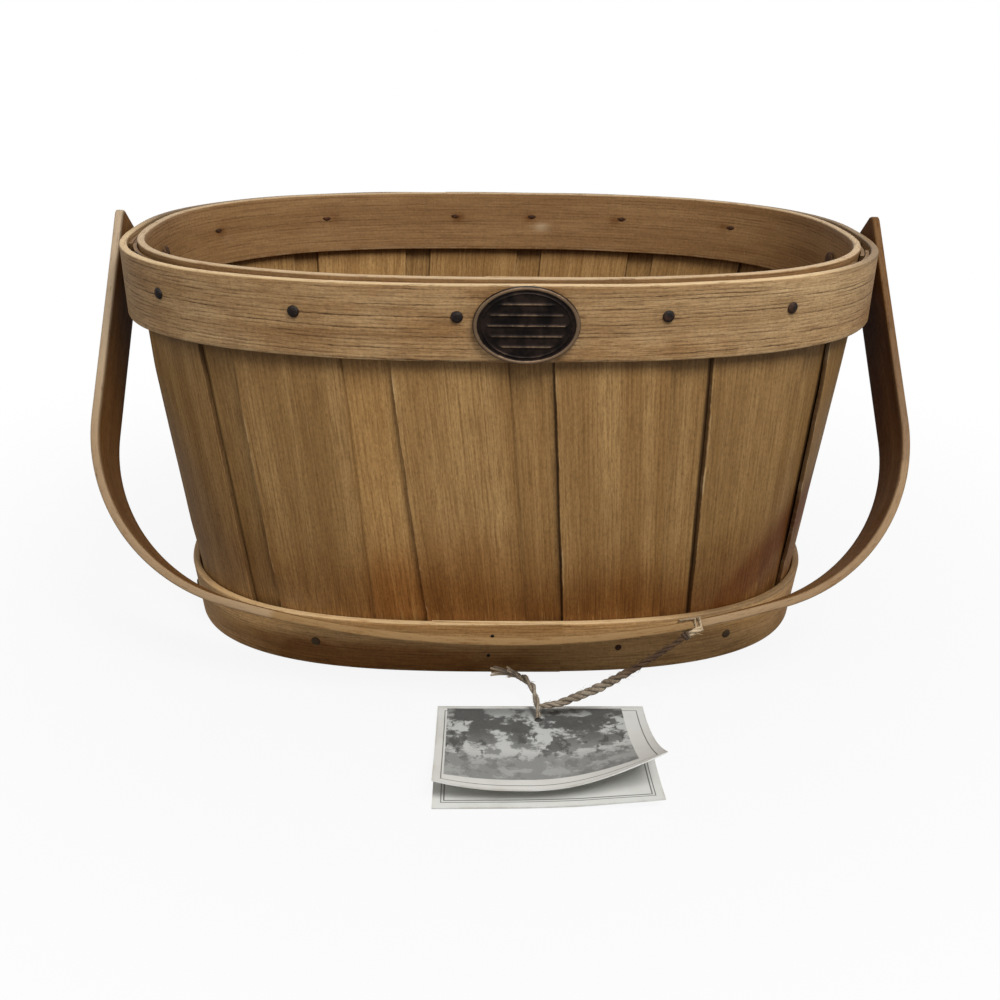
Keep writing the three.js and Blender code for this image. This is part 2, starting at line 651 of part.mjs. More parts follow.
// Tag: one card folded in two, its lower leaf flat on the floor and its upper leaf curling off it
function makeTag() {
  const floor = CLEARANCE + TAG_THICKNESS / 2;
  const line = [{ y: TAG_FOLD_Y - TAG_LENGTH, z: floor, heading: Math.PI / 2 }];
  for (let i = 0; i <= 6; i++) {
    const angle = -Math.PI / 2 + (Math.PI * i) / 6;
    line.push({
      y: TAG_FOLD_Y + TAG_FOLD_RADIUS * (Math.cos(angle) - 1),
      z: floor + TAG_FOLD_RADIUS * (1 + Math.sin(angle)),
      heading: -angle,
    });
  }
  for (const share of [0.25, 0.5, 0.75, 1]) {
    const rise = TAG_LIFT * share ** 2;
    const slope = Math.atan((2 * TAG_LIFT * share) / TAG_LENGTH);
    line.push({
      y: TAG_FOLD_Y - share * TAG_LENGTH,
      z: floor + 2 * TAG_FOLD_RADIUS + rise,
      heading: -Math.PI / 2 + slope,
    });
  }
  const rings = line.map(({ y, z, heading }) => {
    const corner = (side, x) =>
      new THREE.Vector3(
        x,
        y + ((side * TAG_THICKNESS) / 2) * Math.cos(heading),
        z - ((side * TAG_THICKNESS) / 2) * Math.sin(heading),
      );
    const [low, high] = [TAG_X - TAG_WIDTH / 2, TAG_X + TAG_WIDTH / 2];
    return [corner(1, low), corner(1, high), corner(-1, high), corner(-1, low)];
  });
  addPiece("hang_tag", loft(rings), card);
}

makeBaseBoard();
makeStaves("outer_stave", outerFace, outerBack, OUTER_STAVE_SHARE, OUTER_START_SHARE, FOOT_STRAY);
const midStray = FOOT_STRAY.map((stray, i) => (stray + FOOT_STRAY[(i + 1) % STAVE_COUNT]) / 2);
makeStaves("inner_stave", innerFace, innerBack, INNER_STAVE_SHARE, INNER_START_SHARE, midStray);
makeHoops();
makeRimTacks();
makePivots();
makePlate();
makeHandle();
addPiece("twine_strand", cord(STRAND_ROUTE, STRAND_DIAMETER, 14), jute);
addPiece("twine_tail", cord(TAIL_ROUTE, TAIL_DIAMETER, 12), jute);
makeTag();

export default basket;
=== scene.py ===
"""An oval stave basket with a swing handle, a rim plate and a hang tag, dressed round its frame.

Metres, +Z up, the front towards -Y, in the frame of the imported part.
"""

import math

import bpy
import numpy as np
from mathutils import Matrix, Vector, noise


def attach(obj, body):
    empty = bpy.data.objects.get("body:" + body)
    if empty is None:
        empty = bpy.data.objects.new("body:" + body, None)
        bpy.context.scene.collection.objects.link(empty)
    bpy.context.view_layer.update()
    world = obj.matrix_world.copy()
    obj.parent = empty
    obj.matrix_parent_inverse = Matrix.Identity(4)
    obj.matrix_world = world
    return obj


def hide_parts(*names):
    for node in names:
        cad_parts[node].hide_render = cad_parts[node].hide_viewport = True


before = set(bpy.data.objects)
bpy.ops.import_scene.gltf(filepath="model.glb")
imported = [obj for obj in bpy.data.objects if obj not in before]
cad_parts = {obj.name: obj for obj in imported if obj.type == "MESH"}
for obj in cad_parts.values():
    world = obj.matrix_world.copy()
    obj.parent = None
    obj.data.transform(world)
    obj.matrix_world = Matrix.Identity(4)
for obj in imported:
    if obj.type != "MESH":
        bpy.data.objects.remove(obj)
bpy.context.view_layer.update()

# Sizes of the part, in metres; places round an oval are shares of a turn from the front centre
RIM_LENGTH, RIM_WIDTH, RIM_SQUARENESS = 0.356, 0.242, 2.56
BASE_LENGTH, BASE_WIDTH, BASE_SQUARENESS = 0.313, 0.216, 2.9
HEIGHT = 0.186
CLEARANCE = 0.0003
LAYER_GAP = 0.00045
INSIDE_CLEARANCE = 0.0006

HOOP_THICKNESS = 0.0032
HOOP_CORNER = 0.0007
HOOP_UNEVEN = 0.0003
HOOP_STEPS, HOOP_FACE_STEPS = 460, 14
HOOP_LAP = 0.060
HOOP_TIP = 0.00065
RIM_HOOP_HEIGHT = 0.032
INNER_HOOP_RISE = 0.001
BASE_HOOP_HEIGHT = 0.027
RIM_LAP_TURN, INNER_LAP_TURN, BASE_LAP_TURN = 0.47, -0.008, -0.035

STAVE_COUNT = 14
STAVE_THICKNESS = 0.0016
STAVE_TOP = HEIGHT - 0.002
STAVE_SLANT = 0.014
FOOT_STRAY = np.array([2, -1, -3, 1, -2, 0, 2, -1, 2, -2, 0, -6, -7.5, 2.5]) / 1000
OUTER_SHARE, OUTER_START = 0.72, 0.273
INNER_SHARE, INNER_START = 0.78, 0.779
OUTER_RAGGED, INNER_RAGGED = 0.0008, 0.0004
OUTER_SPRING, OUTER_RIPPLE = 0.0007, 0.0004
STAVE_POINTS = {"Vertices X": 27, "Vertices Y": 3, "Vertices Z": 125}

BOARD_THICKNESS = 0.019
BOARD_STEPS = 200
BOARD_HALF_WIDTH = 0.12
# Heights up the board's rounded edge, and how far it draws in there
BOARD_EDGE = ((0, 0.0012), (0.0006, 0.0004), (0.0014, 0), (BOARD_THICKNESS - 0.0016, 0),
              (BOARD_THICKNESS - 0.0005, 0.0005), (BOARD_THICKNESS, 0.0016))
BOARD_RINGS = np.linspace(0.94, 0.1, 9)

HANDLE_WIDTH = 0.032
HANDLE_THICKNESS = 0.0035
HANDLE_CORNER, HANDLE_FACE_STEPS = 0.0008, 12
HANDLE_RIPPLE = 0.00015
HANDLE_TIP = 0.017
HANDLE_TIP_RADIUS = 0.004
HANDLE_BEND_HEIGHT = 0.0816
HANDLE_SPLAY = math.radians(0.8)
HANDLE_BEND_RADIUS = 0.086
HANDLE_BOW_ANGLE = math.radians(16.1)
HANDLE_SWAY = 0.0024
HANDLE_GRIP_TWIST = math.radians(9.5)
HANDLE_REST_LEAN = 0.714153

PIVOT_Z = HEIGHT - 0.014
PIVOT_SIDES = 36
SPACER_DIAMETER, SPACER_THICKNESS, SPACER_SOFTNESS = 0.016, 0.004, 0.0005
RIVET_DIAMETER, RIVET_HEAD_DIAMETER, RIVET_HEAD_HEIGHT = 0.005, 0.012, 0.0026
RIVET_BURR_DIAMETER, RIVET_BURR_HEIGHT = 0.009, 0.0012
RIVET_TIP_RADIUS = 0.0003
# The rivet head's rounding, as shares of its radius and height
RIVET_DOME = ((0.3, 0.04), (0.55, 0.16), (0.76, 0.36), (0.91, 0.62), (0.98, 0.86), (0.99, 1.0))

TACK_HEAD_RADIUS, TACK_HEAD_HEIGHT = 0.0025, 0.001
TACK_LIFT = 0.0003
# A tack's head and the start of its shank, as shares of the head's radius and height
TACK_PROFILE = ((0.3, -1.6), (0.34, -0.3), (0.97, -0.16), (1.0, 0.0), (0.97, 0.22),
                (0.84, 0.58), (0.62, 0.84), (0.35, 0.97), (0.0006, 1.0))
# Radii and heights of a tack's point, clinched over
CLINCH_PROFILE = ((0.0008, -0.001), (0.0008, 0.0002), (0.0016, 0.0003), (0.00145, 0.0007),
                  (0.0008, 0.00095), (0.0002, 0.001))
TACK_SIDES, CLINCH_SIDES = 20, 14
RIM_CLINCH_SIZE, SUNK_TACK_SIZE, BASE_TACK_SIZE, LAP_NAIL_SIZE = 0.85, 0.62, 0.9, 0.36
RIM_TACK_Z = HEIGHT - 0.013
RIM_TACK_TURNS = [-0.155, -0.086, -0.019, 0.067, 0.124, 0.354, 0.424, 0.479, 0.525, 0.604, 0.68]
BASE_TACK_Z = 0.013
SUNK_TACK_TURN = 0.062
BASE_TACK_TURNS = [-0.2, -0.096, 0.062, 0.123, 0.21, 0.31, 0.4, 0.47, 0.56, 0.65, 0.73]
# Turn and height of each nail in the base hoop's lap
LAP_NAILS = ((-0.0035, 0.0204), (-0.0055, 0.0096))

PLATE_LENGTH, PLATE_HEIGHT, PLATE_THICKNESS = 0.043, 0.032, 0.002
PLATE_SEAT = Vector((0.0089692, -0.1201594, 0.170))
PLATE_LEAN = 3.2113463 - math.pi
PLATE_SIDES = 256
PLATE_SHARES = (0.02, *np.linspace(0.06, 0.8, 64), 0.815, 0.83, 0.845, 0.86, 0.875, 0.9, 0.915,
                0.93, 0.95, 0.97, 0.985, 0.996, 1.0)
PLATE_EDGE_RISE, PLATE_RING_RISE, PLATE_RIB_RISE = 0.0006, 0.00034, 0.00046
PLATE_RIBS, PLATE_RIB_WIDTH = (-0.0088, -0.0044, 0.0, 0.0044, 0.0088), 0.0005
PLATE_ARRIS, PLATE_BACK_INSET = 0.0003, 0.0004

TWINE_X = 0.0855
TWINE_DIAMETER = 0.0014
STRAND_DIAMETER = 0.0034
TAIL_DIAMETER = 0.002
LOOP_PITCH, STRAND_PITCH, TAIL_PITCH = 0.0032, 0.0115, 0.017
# How far each turn of the loop lies along the handle, leans along it and stands off it
LOOP_TURNS = ((-0.0011, 0.0004, 0.0), (0.0001, -0.0006, 0.0003), (0.0012, 0.0007, 0.0))
KNOT_RADIUS, KNOT_GIRTH = 0.0013, 0.00066
# The share of the tail's loose end that each tuft takes, and the side that it falls to
TUFTS = ((0.56, 1), (0.56, -1), (1.0, 1), (1.0, -1))
TUFT_YARNS, TUFT_THICK_YARNS = 11, 3
STRAND_ROUTE = np.array([
    (86.2, -138.3, 42.1), (79.6, -140.2, 39.1), (73.4, -141.4, 34.9), (67, -142.6, 31),
    (60, -143.8, 26.6), (52.5, -145, 22.3), (45, -146, 18.2), (38, -146.8, 14.9),
    (31, -147.4, 12), (25, -147.8, 9.8), (17.4, -147, 7.7),
]) / 1000
TAIL_ROUTE = np.array([
    (16.6, -149.4, 3.7), (16.3, -147.6, 6.2), (15.9, -144.8, 8.4), (15.4, -141.2, 9.8),
    (14.7, -137.4, 10.4), (13.5, -133.4, 10.4), (11.6, -129.4, 10), (9, -125.8, 9.4),
    (5.6, -122.6, 8.8), (1.4, -120.2, 8.2), (-3.4, -118.8, 7.8),
]) / 1000

TAG_LENGTH, TAG_WIDTH, TAG_THICKNESS = 0.067, 0.091, 0.0005
TAG_FOLD_Y, TAG_FOLD_RADIUS, TAG_X = -0.1385, 0.0007, 0.018
TAG_COLUMNS = 56

# Camera, from the outlines of rim, foot and handle
CAMERA_PLACE = Vector((-0.009346, -0.547392, 0.283695))
CAMERA_VIEW = Vector((0.01853, 0.91371, -0.40594))
CAMERA_ROLL = 0.0127
CAMERA_LENS = 39.6

# Studio
FLOOR_HALF = 6.0
FLOOR_GREY, WHITE = (0.4, 0.4, 0.4, 1.0), (1, 1, 1, 1)
WORLD_STRENGTH = 0.3
LAMP_AIM = (0, 0, 0.1)
KEY_PLACE, KEY_SIZE, KEY_POWER = (0.45, -0.88, 1.38), 0.6, 24.0
FILL_PLACE, FILL_SIZE, FILL_POWER = (-0.7, -0.8, 1.2), 1.0, 4.0


def srgb(red, green, blue):
    """A screen colour, 0 to 255, made linear for a shader."""
    shares = [channel / 255 for channel in (red, green, blue)]
    linear = [s / 12.92 if s <= 0.04045 else ((s + 0.055) / 1.055) ** 2.4 for s in shares]
    return (*linear, 1.0)


# Node trees

class Wire:
    """An output socket that adds Math nodes when it takes part in a formula."""

    def __init__(self, web, socket):
        self.web = web
        self.socket = socket


def add_operator(sign, operation):
    """Let a wire stand on either side of a sign"""
    setattr(Wire, f"__{sign}__", lambda wire, other: wire.web.math(operation, wire, other))
    setattr(Wire, f"__r{sign}__", lambda wire, other: wire.web.math(operation, other, wire))


for sign, operation in (("add", "ADD"), ("sub", "SUBTRACT"), ("mul", "MULTIPLY"),
                        ("truediv", "DIVIDE"), ("pow", "POWER")):
    add_operator(sign, operation)


class Web:
    """A node tree with short ways to add nodes, so that a pattern reads as a formula."""

    def __init__(self, tree):
        self.tree = tree

    def feed(self, socket, value):
        if isinstance(value, Wire):
            self.tree.links.new(value.socket, socket)
        else:
            socket.default_value = value

    def node(self, kind, feeds=None, **settings):
        made = self.tree.nodes.new(kind)
        for name, value in settings.items():
            setattr(made, name, value)
        for name, value in (feeds or {}).items():
            self.feed(made.inputs[name], value)
        return made

    def get(self, kind, feeds=None, output=0, **settings):
        return Wire(self, self.node(kind, feeds, **settings).outputs[output])

    def operate(self, kind, operation, values):
        made = self.node(kind, operation=operation)
        for socket, value in zip(made.inputs, values):
            self.feed(socket, value)
        return made

    def math(self, operation, *values):
        return Wire(self, self.operate("ShaderNodeMath", operation, values).outputs[0])

    def vector(self, operation, *values):
        made = self.operate("ShaderNodeVectorMath", operation, values)
        return Wire(self, made.outputs["Value" if operation == "LENGTH" else "Vector"])

    def scaled(self, vector, share):
        return self.get("ShaderNodeVectorMath", {"Vector": vector, "Scale": share},
                        operation="SCALE")

    def join(self, x, y, z):
        return self.get("ShaderNodeCombineXYZ", {"X": x, "Y": y, "Z": z})

    def split(self, vector):
        made = self.node("ShaderNodeSeparateXYZ", {"Vector": vector})
        return [Wire(self, socket) for socket in made.outputs]

    def noise(self, vector, detail=2.0, roughness=0.5):
        return self.get("ShaderNodeTexNoise",
                        {"Vector": vector, "Scale": 1.0, "Detail": detail, "Roughness": roughness})

    def speckle(self, place, scales, detail=2.0, roughness=0.5):
        """Noise with a scale of its own along each axis"""
        return self.noise(self.vector("MULTIPLY", place, scales), detail, roughness)

    def step(self, value, low, high):
        """Smoothly from 0 at low to 1 at high"""
        return self.get("ShaderNodeMapRange", {"Value": value, "From Min": low, "From Max": high},
                        interpolation_type="SMOOTHSTEP")

    def fall(self, value, low, high):
        """Smoothly from 1 at low to 0 at high"""
        return 1.0 - self.step(value, low, high)

    def blend(self, share, first, second, how="MIX"):
        made = self.node("ShaderNodeMix", data_type="RGBA", blend_type=how)
        sockets = {socket.identifier: socket for socket in made.inputs}
        self.feed(sockets["Factor_Float"], share)
        self.feed(sockets["A_Color"], first)
        self.feed(sockets["B_Color"], second)
        return Wire(self, next(s for s in made.outputs if s.identifier == "Result_Color"))

    def darken_with(self, share, colour, tint):
        """A colour darkened by multiplying in another, for real stains and for painted shade"""
        return self.blend(share, colour, self.blend(1.0, colour, tint, "MULTIPLY"))

    def attribute(self, name):
        return self.get("ShaderNodeAttribute", output="Vector", attribute_name=name)

    def place(self):
        return self.get("ShaderNodeTexCoord", output="Object")


def new_group(name, kind, inputs, outputs):
    """A node group with named sockets: the group, its web and the wires of its inputs by name"""
    group = bpy.data.node_groups.new(name, kind)
    for way, sockets in (("INPUT", inputs), ("OUTPUT", outputs)):
        for socket_name, socket_kind in sockets:
            group.interface.new_socket(socket_name, in_out=way,
                                       socket_type="NodeSocket" + socket_kind)
    web = Web(group)
    entry = group.nodes.new("NodeGroupInput")
    wires = {socket.name: Wire(web, socket) for socket in entry.outputs if socket.name}
    return group, web, wires


def close_group(web, results):
    web.node("NodeGroupOutput", results)


# Shader groups

FIGURE_SIZES = ("Heart Offset", "Heart Depth", "Tilt", "Ring Width", "Waver", "Fleck Width",
                "Fleck Length")
FIGURE_MASKS = ("Rings", "Lines", "Flecks", "Streaks", "Mottle", "Fibres")
SCUFF_MASKS = ("Pale", "Smudge")


def floats(*names):
    return [(name, "Float") for name in names]


def make_wood_figure():
    """Growth rings, pores and streaks of ring-porous wood, sawn from a log.

    Grain holds the place across the board, in its depth and along it. The heart of the log lies
    the heart depth behind the face, and the board runs out of the log's line by the tilt. Lines
    are the thin dark starts of the rings, Rings the soft tone behind each, Flecks the short
    pores, Fibres the fine grain.
    """
    group, web, given = new_group("wood_figure", "ShaderNodeTree",
                                  [("Grain", "Vector"), *floats(*FIGURE_SIZES)],
                                  floats(*FIGURE_MASKS))
    across, depth, along = web.split(given["Grain"])

    def spread(crosswise, lengthwise, detail, roughness):
        place = web.join(across * crosswise, depth * crosswise, along * lengthwise)
        return web.noise(place, detail, roughness)

    wander = spread(9.0, 7.0, 2.0, 0.5) - 0.5
    shiver = web.noise(web.join(across * 420.0, depth * 200.0, along * 120.0), 3.0, 0.7) - 0.5
    sideways = across - given["Heart Offset"]
    behind = depth + given["Heart Depth"] + along * given["Tilt"] + wander * given["Waver"]
    radius = web.math("SQRT", sideways * sideways + behind * behind) + shiver * 0.0013
    count = radius / given["Ring Width"]
    part = web.math("FRACT", count)
    early = 1.0 - part
    vigour = web.noise(web.join(web.math("FLOOR", count) * 7.31, along * 14.0, 0.5), 2.0, 0.6)
    strong = web.step(vigour, 0.44, 0.66)
    unbroken = web.step(spread(330.0, 70.0, 3.0, 0.65), 0.38, 0.6)
    dashes = web.noise(web.join(across / given["Fleck Width"], depth / given["Fleck Width"],
                                along / given["Fleck Length"]), 1.5, 0.6)
    close_group(web, {
        "Rings": early ** 1.8 * (0.35 + strong * 0.65),
        "Lines": web.fall(part, 0.08, 0.42) * (0.15 + strong * 0.85) * (0.3 + unbroken * 0.7),
        "Flecks": web.step(dashes, 0.49, 0.66) * (0.45 + early ** 1.5 * 0.55),
        "Streaks": spread(95.0, 3.0, 3.0, 0.55),
        "Mottle": spread(30.0, 13.0, 4.0, 0.6),
        "Fibres": spread(1100.0, 55.0, 2.0, 0.6),
    })
    return group


def make_scuffs():
    """Handling marks on Object coordinates: short pale scratches and darker smudges"""
    group, web, given = new_group("scuffs", "ShaderNodeTree", [("Place", "Vector")],
                                  floats(*SCUFF_MASKS))
    scratch = web.speckle(given["Place"], (420.0, 420.0, 110.0), 2.0, 0.7)
    cover = web.speckle(given["Place"], (26.0, 26.0, 19.0))
    dirt = web.speckle(given["Place"], (17.0, 17.0, 12.0), 4.0, 0.65)
    close_group(web, {"Pale": web.step(scratch, 0.69, 0.76) * web.step(cover, 0.46, 0.62),
                      "Smudge": web.step(dirt, 0.5, 0.72)})
    return group


WOOD_FIGURE = make_wood_figure()
SCUFFS = make_scuffs()


def new_material(name):
    material = bpy.data.materials.new(name)
    material.use_nodes = True
    material.node_tree.nodes.clear()
    return material, Web(material.node_tree)


def close_material(web, colour, roughness, height=None, bump=0.25, bump_reach=0.0004, **constants):
    """The surface's shader. Constants are set on its own sockets."""
    shader = web.node("ShaderNodeBsdfPrincipled", {"Base Color": colour, "Roughness": roughness})
    for name, value in constants.items():
        shader.inputs[name.replace("_", " ").title().replace("Ior", "IOR")].default_value = value
    if height is not None:
        normal = web.get("ShaderNodeBump", {"Height": height, "Strength": bump,
                                            "Distance": bump_reach}, output="Normal")
        web.feed(shader.inputs["Normal"], normal)
    surface = web.node("ShaderNodeOutputMaterial")
    web.tree.links.new(shader.outputs["BSDF"], surface.inputs["Surface"])


def masks_of(web, tree, names, feeds):
    """The masks that a shader group puts out"""
    made = web.node("ShaderNodeGroup", feeds, node_tree=tree)
    return [Wire(web, made.outputs[name]) for name in names]


def wood_surface(web, palette, figure, shares):
    """Colour, roughness and height of bare varnished wood, from a piece's grain attribute"""
    light, middle, ring, pore = palette
    ring_share, line_share, fleck_share, streak_share, fibre_share = shares
    rings, lines, flecks, streaks, mottle, fibres = masks_of(
        web, WOOD_FIGURE, FIGURE_MASKS,
        {"Grain": web.attribute("grain"), **dict(zip(FIGURE_SIZES, figure))})
    pale, smudge = masks_of(web, SCUFFS, SCUFF_MASKS, {"Place": web.place()})
    colour = web.blend(0.5 + (web.step(streaks, 0.3, 0.7) - 0.5) * streak_share, middle, light)
    colour = web.blend(web.step(mottle, 0.38, 0.7) * 0.35, colour, middle)
    colour = web.blend(rings * ring_share, colour, ring)
    colour = web.blend(web.step(fibres, 0.42, 0.68) * fibre_share, colour, ring)
    colour = web.blend(flecks * fleck_share, colour, pore)
    colour = web.blend(lines * line_share, colour, pore)
    colour = web.blend(smudge * 0.2, colour, ring)
    colour = web.blend(pale * 0.45, colour, light)
    speck = web.speckle(web.place(), (900.0, 900.0, 600.0), 2.0, 0.6)
    colour = web.scaled(colour, 0.7 + speck * 0.6)
    roughness = 0.5 + flecks * 0.2 + smudge * 0.12
    height = 0.6 - flecks * 0.4 - lines * 0.5
    return colour, roughness, height


# Light and middle wood, ring and pore
STAVE_PALETTE = (srgb(176, 139, 88), srgb(146, 110, 64), srgb(112, 78, 40), srgb(84, 53, 24))
HOOP_PALETTE = (srgb(190, 161, 119), srgb(157, 127, 88), srgb(116, 85, 52), srgb(62, 40, 20))
BASE_HOOP_PALETTE = (srgb(184, 147, 99), srgb(154, 118, 72), srgb(114, 80, 42), srgb(66, 42, 19))
INNER_HOOP_PALETTE = (srgb(158, 123, 82), srgb(136, 102, 63), srgb(108, 75, 42), srgb(74, 47, 24))
HANDLE_PALETTE = (srgb(136, 98, 54), srgb(108, 72, 36), srgb(82, 49, 20), srgb(52, 28, 10))
BOARD_PALETTE = (srgb(174, 138, 90), srgb(150, 114, 70), srgb(120, 84, 46), srgb(88, 57, 28))

# How strongly rings, lines, flecks, streaks and fibres show
STAVE_SHARES = (0.32, 0.22, 0.45, 1.0, 0.5)
HOOP_SHARES = (0.46, 0.9, 0.42, 1.0, 0.55)
BASE_HOOP_SHARES = (0.34, 0.34, 0.3, 1.0, 0.5)
INNER_HOOP_SHARES = (0.4, 0.34, 0.2, 1.0, 0.4)
HANDLE_SHARES = (0.35, 0.4, 0.3, 0.8, 0.35)
BOARD_SHARES = (0.5, 0.6, 0.4, 0.8, 0.3)

# The sizes of the wood's figure, in the order of its group's inputs
STAVE_FIGURES = {"outer": (0.075, 0.016, 0.05, 0.0021, 0.004, 0.0003, 0.0024),
                 "inner": (0.06, 0.024, 0.08, 0.0026, 0.006, 0.0003, 0.0026)}
HOOP_FIGURE = (0.012, 0.021, 0.035, 0.0016, 0.05, 0.0004, 0.003)
BOARD_FIGURE = (0.02, 0.05, 0.09, 0.0034, 0.012, 0.0006, 0.008)

RAW_EDGE = srgb(202, 174, 132)
DULL_EDGE = srgb(190, 164, 128)
# Partly rubbed wear, partly painted highlight: the handle's pale front edge
RUBBED_AND_LIT_EDGE = srgb(142, 113, 75)
GREYED_EDGE = srgb(192, 174, 150)
DIM_TOP = srgb(100, 80, 56)
PALE_SCAR = srgb(206, 182, 146)
PALE_SCRATCH = srgb(176, 134, 78)
# Painted shadow: the dark of the gaps between staves and of the hoops' lower edges
GAP_SHADOW = srgb(48, 28, 14)
ORANGE_STAIN = srgb(216, 172, 112)
BROWN_STAIN = srgb(202, 168, 130)
# Dirt and painted shade on the hoops: the bow's shadow, the base hoop's right end, the handle's
# right arm
GRIME_AND_SHADE = srgb(196, 170, 136)
# Painted shadow for the staves just under the rim hoop
UNDER_RIM_SHADOW = srgb(150, 132, 112)
RUST = srgb(72, 44, 28)
PATINA, THIN_PATINA, RUBBED_BRASS = srgb(14, 9, 8), srgb(44, 33, 27), srgb(132, 108, 84)
JUTE_DARK, JUTE, JUTE_PALE = srgb(88, 75, 60), srgb(150, 136, 117), srgb(174, 161, 143)
# The first colour browns the strand's upper end: partly the jute's own colour, partly painted shade
JUTE_BROWN_AND_SHADE, JUTE_CLEAN = srgb(138, 107, 69), srgb(212, 186, 148)
# Painted shade for the twine's hollows, and the frayed ends' pale colour, partly painted light
JUTE_HOLLOW_SHADE, JUTE_FRAYED_AND_LIT = srgb(58, 44, 32), srgb(232, 208, 176)
PAPER, SOILED_PAPER, PAPER_FIBRE = srgb(206, 206, 201), srgb(184, 183, 176), srgb(180, 176, 164)
# The middle colour is painted shade for the card's hole
WORN_PAPER, HOLE_SHADOW, LINE_INK = srgb(165, 158, 144), srgb(30, 26, 22), srgb(58, 56, 52)
PRINT_DARK, PRINT_GREY, PRINT_PALE = srgb(48, 49, 48), srgb(122, 124, 122), srgb(196, 198, 195)
PRINT_BLACK, PRINT_GRAIN = srgb(34, 35, 34), srgb(190, 191, 188)


def make_stave_wood(name, figure):
    """Stave wood, darker and more orange towards the foot from old staining, with torn pale edges,
    painted shadow along the seams and a band of painted shadow just under the rim hoop.

    The sides attribute holds the way to the stave's left and right edges and its own tone; the
    seam attribute, the way out from under the edges of the staves in front of it.
    """
    material, web = new_material(name)
    colour, roughness, height = wood_surface(web, STAVE_PALETTE, figure, STAVE_SHARES)
    left, right, tone = web.split(web.attribute("sides"))
    under_left, under_right, _ = web.split(web.attribute("seam"))
    across, depth, along = web.split(web.attribute("grain"))
    x, y, z = web.split(web.place())
    colour = web.scaled(colour, tone)

    patches = web.noise(web.join(x * 14.0, y * 14.0, z * 9.0), 3.0, 0.55) - 0.5
    tint = web.fall(z + patches * 0.09, 0.032, 0.082)
    tint = tint * (0.28 + web.step(x, -0.09, -0.045) * 0.57)
    off_streak = web.math("ABSOLUTE", z - 0.043 - (x - 0.12) * 0.8 + patches * 0.03)
    streak = web.fall(off_streak, 0.004, 0.024) * web.step(x, 0.085, 0.105)
    colour = web.darken_with(streak * 0.3, colour, ORANGE_STAIN)
    colour = web.darken_with(web.math("MAXIMUM", tint, streak), colour, BROWN_STAIN)

    scratch = web.noise(web.join(across * 900.0, 0.5, along * 70.0), 2.0, 0.6)
    low = web.fall(z + patches * 0.05, 0.03, 0.055)
    colour = web.blend(low * web.step(scratch, 0.56, 0.74) * 0.5, colour, PALE_SCRATCH)

    torn = web.noise(web.join(across * 600.0, 0.5, along * 75.0), 3.0, 0.7)
    edge = web.fall(left, 0.0003, 0.0014)
    colour = web.blend(edge * web.step(torn, 0.5, 0.66) * 0.45, colour, RAW_EDGE)
    # Painted shadow in the seams: each stave's long edges are darkened, the right edge more
    # strongly towards the basket's left end
    left_wall, right_wall = (web.fall(side, 0.00003, 0.00016) for side in (left, right))
    sharp_right = 0.2 + web.fall(x, -0.12, -0.1) * 0.45
    walls = web.math("MAXIMUM", left_wall * 0.7, right_wall * sharp_right)
    colour = web.blend(walls, colour, GAP_SHADOW)
    # Painted shadow on the inner staves, in the gaps beside the edges of the outer staves in front
    # of them
    gap = web.math("MAXIMUM", web.fall(under_left, 0.0, 0.0009),
                   web.fall(under_right, 0.0, 0.001) * sharp_right)
    colour = web.blend(gap * web.fall(depth, 0.0004, 0.0011) * 0.75, colour, GAP_SHADOW)
    # Painted shadow: a band on the staves just under the rim hoops
    shade = web.step(z + patches * 0.005, 0.145, 0.1535)
    colour = web.darken_with(shade * 0.5, colour, UNDER_RIM_SHADOW)
    close_material(web, colour, roughness, height, 0.3, specular_ior_level=0.2)
    return material


def make_hoop_wood(name, palette, shares, edge_colour, edge_share, mark_colour,
                   edge_reach=0.0009, shine=0.22):
    """Hoop wood, with the grain along the hoop, pale cut edges on top and painted shadow below.

    The rim attribute holds the way down from the top edge, up from the lower edge, and the tone;
    the wear attribute, how strongly the pale edge colour shows, how far dirt and painted shade
    darken the face, and where it takes the colour of a mark, a scar or a dimmed top edge.
    """
    material, web = new_material(name)
    colour, roughness, height = wood_surface(web, palette, HOOP_FIGURE, shares)
    below_top, above_foot, tone = web.split(web.attribute("rim"))
    across, depth, along = web.split(web.attribute("grain"))
    edge_paleness, grime_and_shade, mark = web.split(web.attribute("wear"))
    colour = web.scaled(colour, tone)
    cloud = web.noise(web.join(across * 60.0, depth * 60.0, along * 26.0), 4.0, 0.6)
    # Dirt and painted shade from the wear attribute, multiplied into the face
    grime_and_shade = grime_and_shade * (0.55 + web.step(cloud, 0.3, 0.7) * 0.9)
    colour = web.darken_with(grime_and_shade, colour, GRIME_AND_SHADE)
    rough_cut = web.noise(web.join(depth * 1500.0, 0.5, along * 150.0), 3.0, 0.7)
    # Pale cut edge; on the handle it spreads wide and is partly a painted highlight
    cut = web.fall(below_top, 0.0001, edge_reach) * web.step(rough_cut, 0.28, 0.5)
    colour = web.blend(cut * edge_paleness * edge_share, colour, edge_colour)
    colour = web.blend(mark * web.step(rough_cut, 0.15, 0.45) * 0.85, colour, mark_colour)
    worn = web.fall(above_foot, 0.0002, 0.0022) * web.step(rough_cut, 0.4, 0.62)
    colour = web.blend(worn * 0.3, colour, edge_colour)
    # Painted shadow along the lower edge (on the handle, along its back edge)
    colour = web.blend(web.fall(above_foot, 0.00002, 0.00012) * 0.6, colour, GAP_SHADOW)
    close_material(web, colour, roughness, height, 0.35, specular_ior_level=shine)
    return material


def make_board_wood():
    material, web = new_material("board_wood")
    colour, roughness, height = wood_surface(web, BOARD_PALETTE, BOARD_FIGURE, BOARD_SHARES)
    close_material(web, colour, roughness, height, 0.3)
    return material


